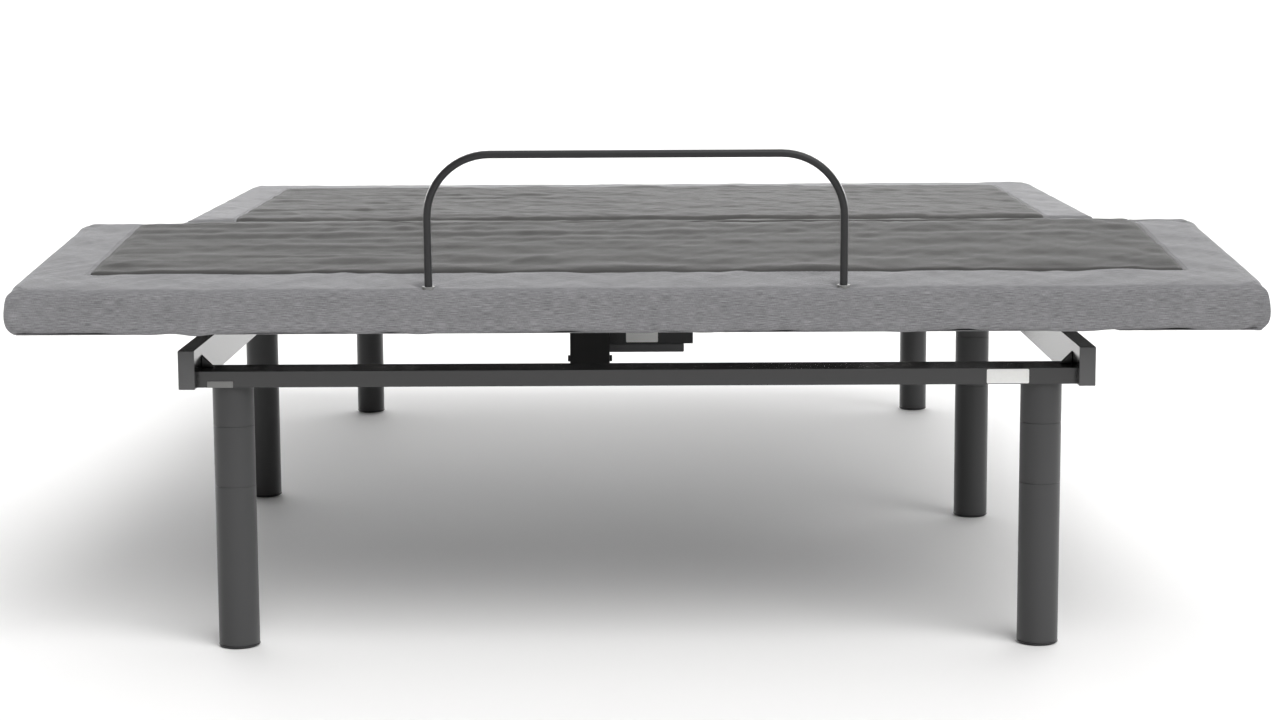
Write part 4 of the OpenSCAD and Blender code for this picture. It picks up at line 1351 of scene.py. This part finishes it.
@dataclass
class Legs:
    """Six legs, each of three stacked tube segments on a glide."""

    wall: float = 0.0018
    chamfer: float = 0.0005
    stud: float = 0.0052

    def centres(self) -> list[tuple[float, float]]:
        """The legs' places, from the studs."""
        points = node_points("leg_studs")[:, :2]
        found: list[list] = []
        for x, y in points:
            for group in found:
                if abs(group[0][0] - x) < 0.03 and abs(group[0][1] - y) < 0.03:
                    group.append((x, y))
                    break
            else:
                found.append([(x, y)])
        middle = [np.array(g) for g in found]
        return [tuple((g.min(0) + g.max(0)) / 2) for g in middle]

    def segment(self, node: str, radius: float) -> bpy.types.Object:
        """Builds one segment of every leg, open below with a plate on top."""
        low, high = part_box(node)
        c, r, z0, z1 = self.chamfer, radius, low.z, high.z
        inner, plate = r - self.wall, 0.003
        profile = [(inner, z0), (r - c, z0), (r, z0 + c), (r, z1 - c), (r - c, z1),
                   (self.stud, z1), (self.stud, z1 - plate), (inner, z1 - plate)]
        return self.turned(f"{node}_tubes", node, profile, LEG_PAINT)

    def glides(self, radius: float) -> bpy.types.Object:
        """Builds the moulded glides, each with a chamfered foot and a plug."""
        low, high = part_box("leg_glides")
        r, z0 = radius, low.z
        plug, foot = r - self.wall - 0.0001, z0 + 0.004
        profile = [(0.0001, z0), (r - 0.0035, z0), (r - 0.0012, z0 + 0.0008),
                   (r + 0.0004, z0 + 0.0022), (r + 0.0004, foot - 0.0006), (r - 0.0004, foot),
                   (plug, foot), (plug, high.z), (0.0001, high.z)]
        return self.turned("leg_glide_feet", "leg_glides", profile, BLACK_PLASTIC)

    def turned(self, name: str, node: str, profile: list, finish: Finish) -> bpy.types.Object:
        """Turns a profile at every leg and puts it in the node's place.

        Args:
            name: The piece's name.
            node: The CAD node that it stands for.
            profile: Radius and height pairs.
            finish: Its finish.

        Returns:
            The piece.
        """
        points, faces, count = [], [], 0
        for centre in self.centres():
            part, quads = lathe(profile, centre)
            points.append(part)
            faces += [[i + count for i in quad] for quad in quads]
            count += len(part)
        mesh = mesh_from(name, np.concatenate(points), faces)
        mesh.set_sharp_from_angle(angle=math.radians(35))
        piece = add_object(name, mesh, finish)
        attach(piece, "root")
        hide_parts(node)
        return piece

    def build(self) -> None:
        """Builds every leg."""
        radius = min(c[0] for c in self.centres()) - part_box("leg_upper_segments")[0].x
        for node in ("leg_upper_segments", "leg_middle_segments", "leg_lower_segments"):
            self.segment(node, radius)
        self.glides(radius)
        log.info("legs: six, radius %.4f m", radius)


@dataclass
class RetainerBar:
    """The bent bar that keeps the mattress from sliding off the foot end."""

    diameter: float = 0.0095
    bend: float = 0.076
    sides: int = 20

    def build(self, joints: Joints) -> None:
        """Sweeps the bar along its centreline.

        Args:
            joints: The hinges' places.
        """
        place = joints.section("foot")
        low, high = place.extent("retainer_bar")
        r = self.diameter / 2
        half, s, foot, top = high[0] - r, (low[1] + high[1]) / 2, low[2], high[2] - r
        turns = np.linspace(0, math.pi / 2, 15)
        line = [(half, foot), (half, (foot + top) / 2)]
        line += [(half - self.bend * (1 - math.cos(t)), top - self.bend * (1 - math.sin(t)))
                 for t in turns]
        path = line + [(-x, z) for x, z in reversed(line)]
        centre = np.array([(x, s, h) for x, h in path])
        ahead = np.gradient(centre, axis=0)
        ahead /= np.linalg.norm(ahead, axis=1, keepdims=True)
        side = np.array([0.0, 1.0, 0.0])
        up = np.cross(ahead, side)
        angles = np.linspace(0, 2 * math.pi, self.sides, endpoint=False)
        rings = [c + r * (math.cos(a) * side + math.sin(a) * u)
                 for c, u in zip(centre, up) for a in angles]
        n, m = len(centre), self.sides
        faces = [(i * m + k, i * m + (k + 1) % m, (i + 1) * m + (k + 1) % m, (i + 1) * m + k)
                 for i in range(n - 1) for k in range(m)]
        faces += [list(range(m)), list(range((n - 1) * m, n * m))]
        mesh = mesh_from("retainer_rod", place.world(np.array(rings)), faces)
        mesh.set_sharp_from_angle(angle=math.radians(50))
        piece = add_object("retainer_rod", mesh, BAR_PAINT)
        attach(piece, "foot_section")
        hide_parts("retainer_bar")
        log.info("retainer bar: %.3f m wide", 2 * (half + r))

    def base_plan(self, joints: Joints) -> list[tuple[float, float]]:
        """Where the bar goes into the foot section, as x and s pairs."""
        low, high = joints.section("foot").extent("retainer_bar")
        r = self.diameter / 2
        return [(side * (high[0] - r), (low[1] + high[1]) / 2) for side in (-1, 1)]


def sticker(name: str, corner: Vector, size: tuple[float, float], tilt: float,
            body: str) -> bpy.types.Object:
    """Builds a blank label, a thin slab with round corners facing the foot end.

    Args:
        name: The piece's name.
        corner: Its lowest corner, on the face behind it.
        size: Its width and height.
        tilt: How far the face behind it leans back, in radians.
        body: The body that it rides on.

    Returns:
        The piece.
    """
    radius, steps, thick = 0.0015, 5, 0.0003
    width, height = size
    outline = []
    for cx, cz, start in ((width - radius, height - radius, 0), (radius, height - radius, 90),
                          (radius, radius, 180), (width - radius, radius, 270)):
        for k in range(steps):
            a = math.radians(start + 90 * k / (steps - 1))
            outline.append((cx + radius * math.cos(a), cz + radius * math.sin(a)))
    n = len(outline)
    up, out = Vector((0, -math.sin(tilt), math.cos(tilt))), Vector((0, -math.cos(tilt),
                                                                    -math.sin(tilt)))
    points = np.array([corner + Vector((x, 0, 0)) + up * z + out * d
                       for d in (thick, -0.0001) for x, z in outline])
    faces = [list(range(n)), list(range(n, 2 * n))]
    faces += [(k, (k + 1) % n, n + (k + 1) % n, n + k) for k in range(n)]
    mesh = mesh_from(name, points, faces)
    mesh.set_sharp_from_angle(angle=math.radians(40))
    piece = add_object(name, mesh, PAPER)
    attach(piece, body)
    return piece


class Steelwork:
    """The frame, the section frames, the hinges, the drives and their fittings."""

    PARTS = {
        FRAME_PAINT: {0.0022: ("side_rail_left", "side_rail_right", "front_cross_rail",
                               "rear_cross_rail", "head_motor_cross_rail",
                               "leg_motor_cross_rail"),
                      0.0010: ("corner_gussets", "left_leg_bracket", "right_leg_bracket",
                               "head_frame", "thigh_frame", "foot_frame", "head_lift_lever",
                               "thigh_lift_lever", "foot_link_ears", "foot_link_left",
                               "foot_link_right")},
        BRACKET_PAINT: {0.0010: ("head_motor_bracket", "leg_motor_bracket")},
        BLACK_PLASTIC: {0.0016: ("head_gearbox", "leg_gearbox", "control_box"),
                        0.0008: ("control_box_lid", "power_inlet")},
        CAP_PLASTIC: {0.0008: ("rail_end_caps",)},
        GREY_PLASTIC: {0.0020: ("head_motor_cover", "leg_motor_cover")},
        ZINC: {0.0004: ("seat_hinge_leaves", "head_hinge_leaves", "thigh_hinge_leaves",
                        "foot_hinge_leaves", "leg_nuts", "seat_bolts", "retainer_nuts",
                        "head_push_rod", "leg_push_rod",
                        "knee_hinge_pins", "seat_hinge_pins", "leg_studs")},
        PIN_BLACK: {0.0008: ("pivot_pins",)},
        CLIP_PAINT: {0.0004: ("rail_edge_clip", "retainer_ferrules")},
        BOARD: {0.0008: ("head_board", "seat_board", "thigh_board", "foot_board")},
        CIRCUIT: {0.0003: ("control_circuit_board",)},
    }

    def build(self) -> None:
        """Builds every hard part."""
        for finish, groups in self.PARTS.items():
            for edge, nodes in groups.items():
                for node in nodes:
                    EdgedPart(node, finish, edge).build()
            log.info("%s parts built", finish.name)

    def labels(self) -> None:
        """Puts a blank label on the front rail and one on the head drive."""
        low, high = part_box("front_cross_rail")
        sticker("rail_label", Vector((0.4315, low.y, high.z - 0.0190)), (0.052, 0.0178), 0.0,
                "root")
        rows = {row["name"]: row for row in frame["joints"]}
        pivot = Vector(rows["head_drive_tilt"]["pos_m"])
        along = Vector(rows["head_rod_extend"]["axis"])
        tilt = math.atan2(along.z, along.y)
        up = Vector((0, -math.sin(tilt), math.cos(tilt)))
        face = pivot + along * 0.030 + up * 0.0185
        sticker("drive_label", Vector((-0.021, face.y, face.z)), (0.050, 0.019), tilt,
                "head_drive")


# ----------------------------------------------------------------------- stage

@dataclass
class Studio:
    """The pale floor, the soft lights and the camera."""

    lens: float = 74.285
    eye: tuple[float, float, float] = (0.0166, -4.1713, 0.8237)
    pitch: float = 8.103
    heading: float = 0.221
    roll: float = -0.292
    ambient: float = 0.10
    wall: float = 12.0
    wall_fall: float = 8.0
    LAMPS = (("Front", (0.5, -0.75, 0.95), 50, 2.6), ("Overhead", (0.0, 0.0, 1.0), 60, 0.75),
             ("Behind", (0.5, 0.9, 0.8), 45, 0.3))

    def camera(self) -> None:
        """Stands the camera a few metres off the foot end, a little above it."""
        data = bpy.data.cameras.new("Camera")
        data.lens = self.lens
        data.sensor_width = 36.0
        data.clip_end = 1000.0
        camera = bpy.data.objects.new("Camera", data)
        bpy.context.scene.collection.objects.link(camera)
        turn = Matrix.Rotation(math.radians(self.heading), 4, "Z")
        turn @= Matrix.Rotation(math.radians(90 - self.pitch), 4, "X")
        turn @= Matrix.Rotation(math.radians(self.roll), 4, "Z")
        camera.matrix_world = Matrix.Translation(self.eye) @ turn
        bpy.context.scene.camera = camera

    def floor(self) -> None:
        """Lays a large pale floor."""
        size = 400.0
        mesh = bpy.data.meshes.new("Floor")
        mesh.from_pydata([(-size, -size, 0), (size, -size, 0), (size, size, 0),
                          (-size, size, 0)], [], [(0, 1, 2, 3)])
        floor = add_object("Floor", mesh, PlainThing("Floor paint", base=(0.90, 0.895, 0.89),
                                                     roughness=0.75, mottle=0.015, scale=3.0))

    def surround(self) -> None:
        """Surrounds the scene with dim light and a bright wall past the head end."""
        world = bpy.data.worlds.new("Surround")
        world.use_nodes = True
        bench = Bench(world.node_tree)
        parts = bench.add("ShaderNodeSeparateXYZ", {
            "Vector": bench.add("ShaderNodeTexCoord").outputs["Generated"]})
        back, up = parts.outputs["Y"], parts.outputs["Z"]
        facing = bench.math("POWER", bench.math("MAXIMUM", back, 0.0), 2.0)
        drop = bench.math("MULTIPLY", bench.math("MULTIPLY", up, up), -self.wall_fall)
        wall = bench.math("MULTIPLY", facing, bench.math("EXPONENT", drop))
        glow = bench.math("ADD", bench.math("MULTIPLY", wall, self.wall), self.ambient)
        world.node_tree.links.new(glow, world.node_tree.nodes["Background"].inputs["Strength"])
        world.node_tree.nodes["Background"].inputs["Color"].default_value = (1, 1, 1, 1)
        bpy.context.scene.world = world

    def lights(self) -> None:
        """Hangs the very soft lights: one in front, one overhead, one behind."""
        for name, way, angle, strength in self.LAMPS:
            data = bpy.data.lights.new(name, "SUN")
            data.angle = math.radians(angle)
            data.energy = strength
            lamp = bpy.data.objects.new(name, data)
            bpy.context.scene.collection.objects.link(lamp)
            turn = Vector(way).to_track_quat("Z", "Y").to_matrix().to_4x4()
            lamp.matrix_world = Matrix.Translation(Vector(way) * 4) @ turn
        bpy.context.scene.view_settings.view_transform = "Standard"

    def build(self) -> None:
        """Sets the stage."""
        self.camera()
        self.floor()
        self.surround()
        self.lights()


def main() -> None:
    """Builds the bed base, piece by piece."""
    logging.basicConfig(level=logging.INFO, format="%(name)s: %(message)s")
    Studio().build()
    joints = Joints()
    bar = RetainerBar()
    repeats = PathRepeats()
    sections = [
        PaddedSection("foot", "foot_section", 11, 0.012, 0.008, 0.018, 0.036,
                      outer_fold=False, folds=bar.base_plan(joints)),
        PaddedSection("thigh", "thigh_section", 31, 0.027, 0.012, 0.001, 0.018),
        PaddedSection("seat", "root", 51, 0.027, 0.027, 0.001, 0.001),
        PaddedSection("head", "head_section", 71, 0.027, 0.008, 0.001, 0.036, step=0.0135,
                      outer_fold=False),
    ]
    for section in sections:
        section.build(joints, repeats)
    Legs().build()
    bar.build(joints)
    steelwork = Steelwork()
    steelwork.build()
    steelwork.labels()


if __name__ == "__main__":
    main()
